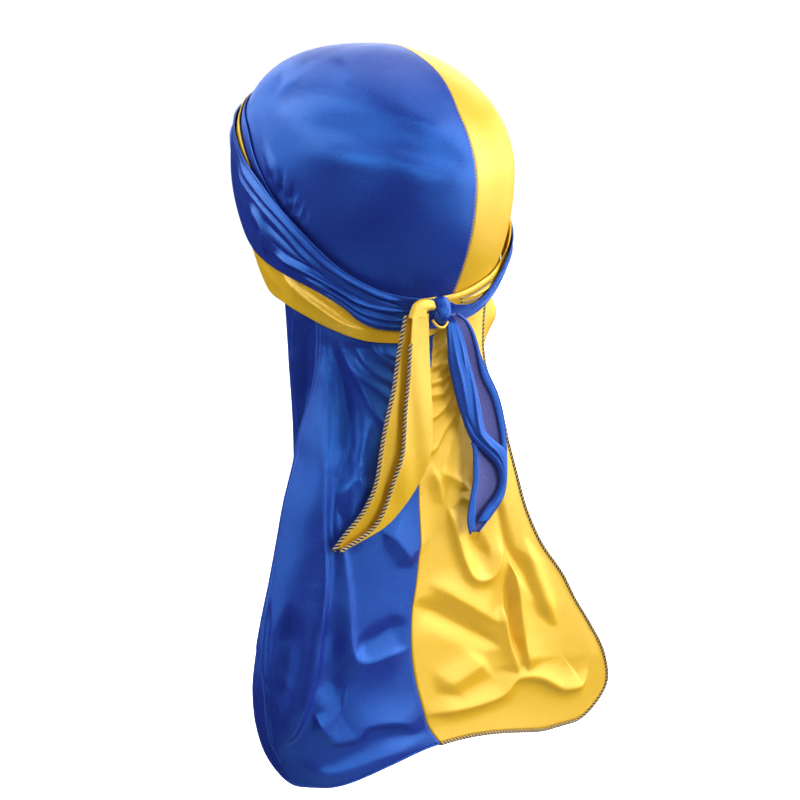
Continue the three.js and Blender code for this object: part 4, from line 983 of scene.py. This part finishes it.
def make_blue_end():
    """A folded end: its see-through back, whose paler blue is painted light shining through the cloth, the front strip
    that crosses over it, and its borders.
    """
    drop, across = np.meshgrid(np.linspace(0.027, 1, 150), np.linspace(0, 1, 40), indexing="ij")
    open_ = smooth((drop - 0.05) / 0.2)
    back = cloth_shell(end_point(drop, across, -2 * np.sin(math.pi * across) * open_), 0.5)
    # The back ply gets the paler blue: painted light shining through the cloth.
    inside = piece("tie_end_blue_inside", [back], BLUE_PAINTED_THROUGH_LIGHT)
    low, high = read(BLUE_FLAP, drop)
    raised = fold_height(BLUE_CREASES, across, drop, (26, TIE_BLUE["length"]))
    swell = 1 + (1.8 * np.sin(math.pi * across) ** 0.7 + raised * np.sin(math.pi * across)) * open_
    front = cloth_shell(end_point(drop, mix(low, high, across), swell), 0.5, drop[:-1, :-1] < 0.95)
    shells = [front]
    for table in BLUE_BORDERS.values():
        down, share = np.meshgrid(np.linspace(table[0][0], table[-1][0], 80), np.linspace(0, 1, 10), indexing="ij")
        low, high = read(table, down)
        shells.append(cloth_shell(end_point(down, mix(low, high, share), 0.2 + 0.5 * np.sin(math.pi * share)), 0.5))
    made = piece("tie_end_blue_cloth", shells, BLUE, ["tie_end_blue"])
    edge = end_point(np.linspace(0.03, 1, 150), np.ones(150), 0)
    low_edge = end_point(np.linspace(0.6, 1, 60), np.zeros(60), 0)
    trim = [*overlock("tie_end_blue_hem", edge), *overlock("tie_end_blue_low_hem", low_edge)]


# Camera, lights and floor
def aim(obj, target):
    import mathutils
    direction = mathutils.Vector(target) - obj.location
    obj.rotation_euler = direction.to_track_quat("-Z", "Y").to_euler()


def make_camera():
    data = bpy.data.cameras.new("camera")
    data.lens = CAMERA["lens"]
    data.sensor_width = CAMERA["sensor"]
    data.clip_start = 0.01
    camera = bpy.data.objects.new("camera", data)
    camera.location = CAMERA["place"]
    camera.rotation_euler = (math.radians(90 + CAMERA["pitch"]), 0, math.radians(-CAMERA["yaw"]))
    bpy.context.collection.objects.link(camera)
    bpy.context.scene.camera = camera


def softbox(name, place, target, size, power, colour=(1, 1, 1)):
    data = bpy.data.lights.new(name, "AREA")
    data.shape = "RECTANGLE"
    data.size, data.size_y = size
    data.energy = power
    data.color = colour
    light = bpy.data.objects.new(name, data)
    light.location = place
    bpy.context.collection.objects.link(light)
    aim(light, target)


def around_camera(turn, lift, distance):
    """A place round the part: turn is degrees to the camera's right, lift degrees up."""
    back = math.radians(CAMERA["yaw"] + 180 - turn)
    flat = distance * math.cos(math.radians(lift))
    return (flat * math.sin(back), flat * math.cos(back), distance * math.sin(math.radians(lift)) - 0.1)


def make_studio():
    softbox("left", around_camera(-112, 30, 1.9), (0, 0, 0), (1.6, 1.6), 42)
    softbox("key", around_camera(-60, 20, 2.2), (0, 0, -0.1), (1.3, 1.7), 20)
    softbox("right", around_camera(108, 12, 1.9), (0, 0, -0.1), (1.3, 1.7), 44)
    softbox("fill", around_camera(62, 20, 2.2), (0, 0, -0.15), (1.3, 1.5), 38)
    softbox("back", around_camera(140, 50, 1.9), (0, 0, 0), (1.4, 1.0), 10)
    softbox("top", (0.2, 0.3, 1.8), (0, 0, 0), (1.2, 1.2), 5)
    softbox("camera", around_camera(4, 34, 2.6), (0, 0, -0.1), (1.4, 1.2), 20)
    softbox("front", around_camera(180, 20, 2.2), (0, 0, -0.1), (1.6, 1.6), 18)
    softbox("below", (0.5, 0.7, -1.7), (0, 0, -0.2), (1.6, 1.6), 8)
    world = bpy.data.worlds.new("studio")
    bpy.context.scene.world = world
    world.use_nodes = True
    world.node_tree.nodes["Background"].inputs["Color"].default_value = (1, 1, 1, 1)
    world.node_tree.nodes["Background"].inputs["Strength"].default_value = 1.0
    for kind in ("diffuse", "glossy", "transmission", "scatter"):
        setattr(world.cycles_visibility, kind, False)
    bpy.context.scene.view_settings.view_transform = "Standard"
    size, level = 20, -0.62
    mesh = bpy.data.meshes.new("floor")
    mesh.from_pydata([(-size, -size, level), (size, -size, level), (size, size, level), (-size, size, level)], [], [(0, 1, 2, 3)])
    material, _, shader = new_material("floor")
    shader.inputs["Base Color"].default_value = (0.95, 0.95, 0.95, 1)
    shader.inputs["Roughness"].default_value = 0.9
    shader.inputs["Emission Color"].default_value = (1, 1, 1, 1)
    shader.inputs["Emission Strength"].default_value = 1.0
    mesh.materials.append(material)
    floor = bpy.data.objects.new("floor", mesh)
    floor.visible_diffuse = False
    floor.visible_glossy = False
    floor.visible_shadow = False
    bpy.context.collection.objects.link(floor)


make_camera()
make_studio()
for side in (1, -1):
    make_cap(side)
    make_front_band(side)
yellow_wrap, yellow_area = make_wrap("strap_yellow", YELLOW_WRAP, LAYER[1], YELLOW_PLEATS, YELLOW)
blue_wrap, blue_area = make_wrap("strap_blue", BLUE_WRAP, LAYER[2], BLUE_PLEATS, BLUE)
edges = make_strap_edges()
make_strap_stitches()
for side in (1, -1):
    make_tail(side)
knot_pieces = [make_knot(), make_loop(), make_arc()]
make_yellow_end()
make_blue_end()
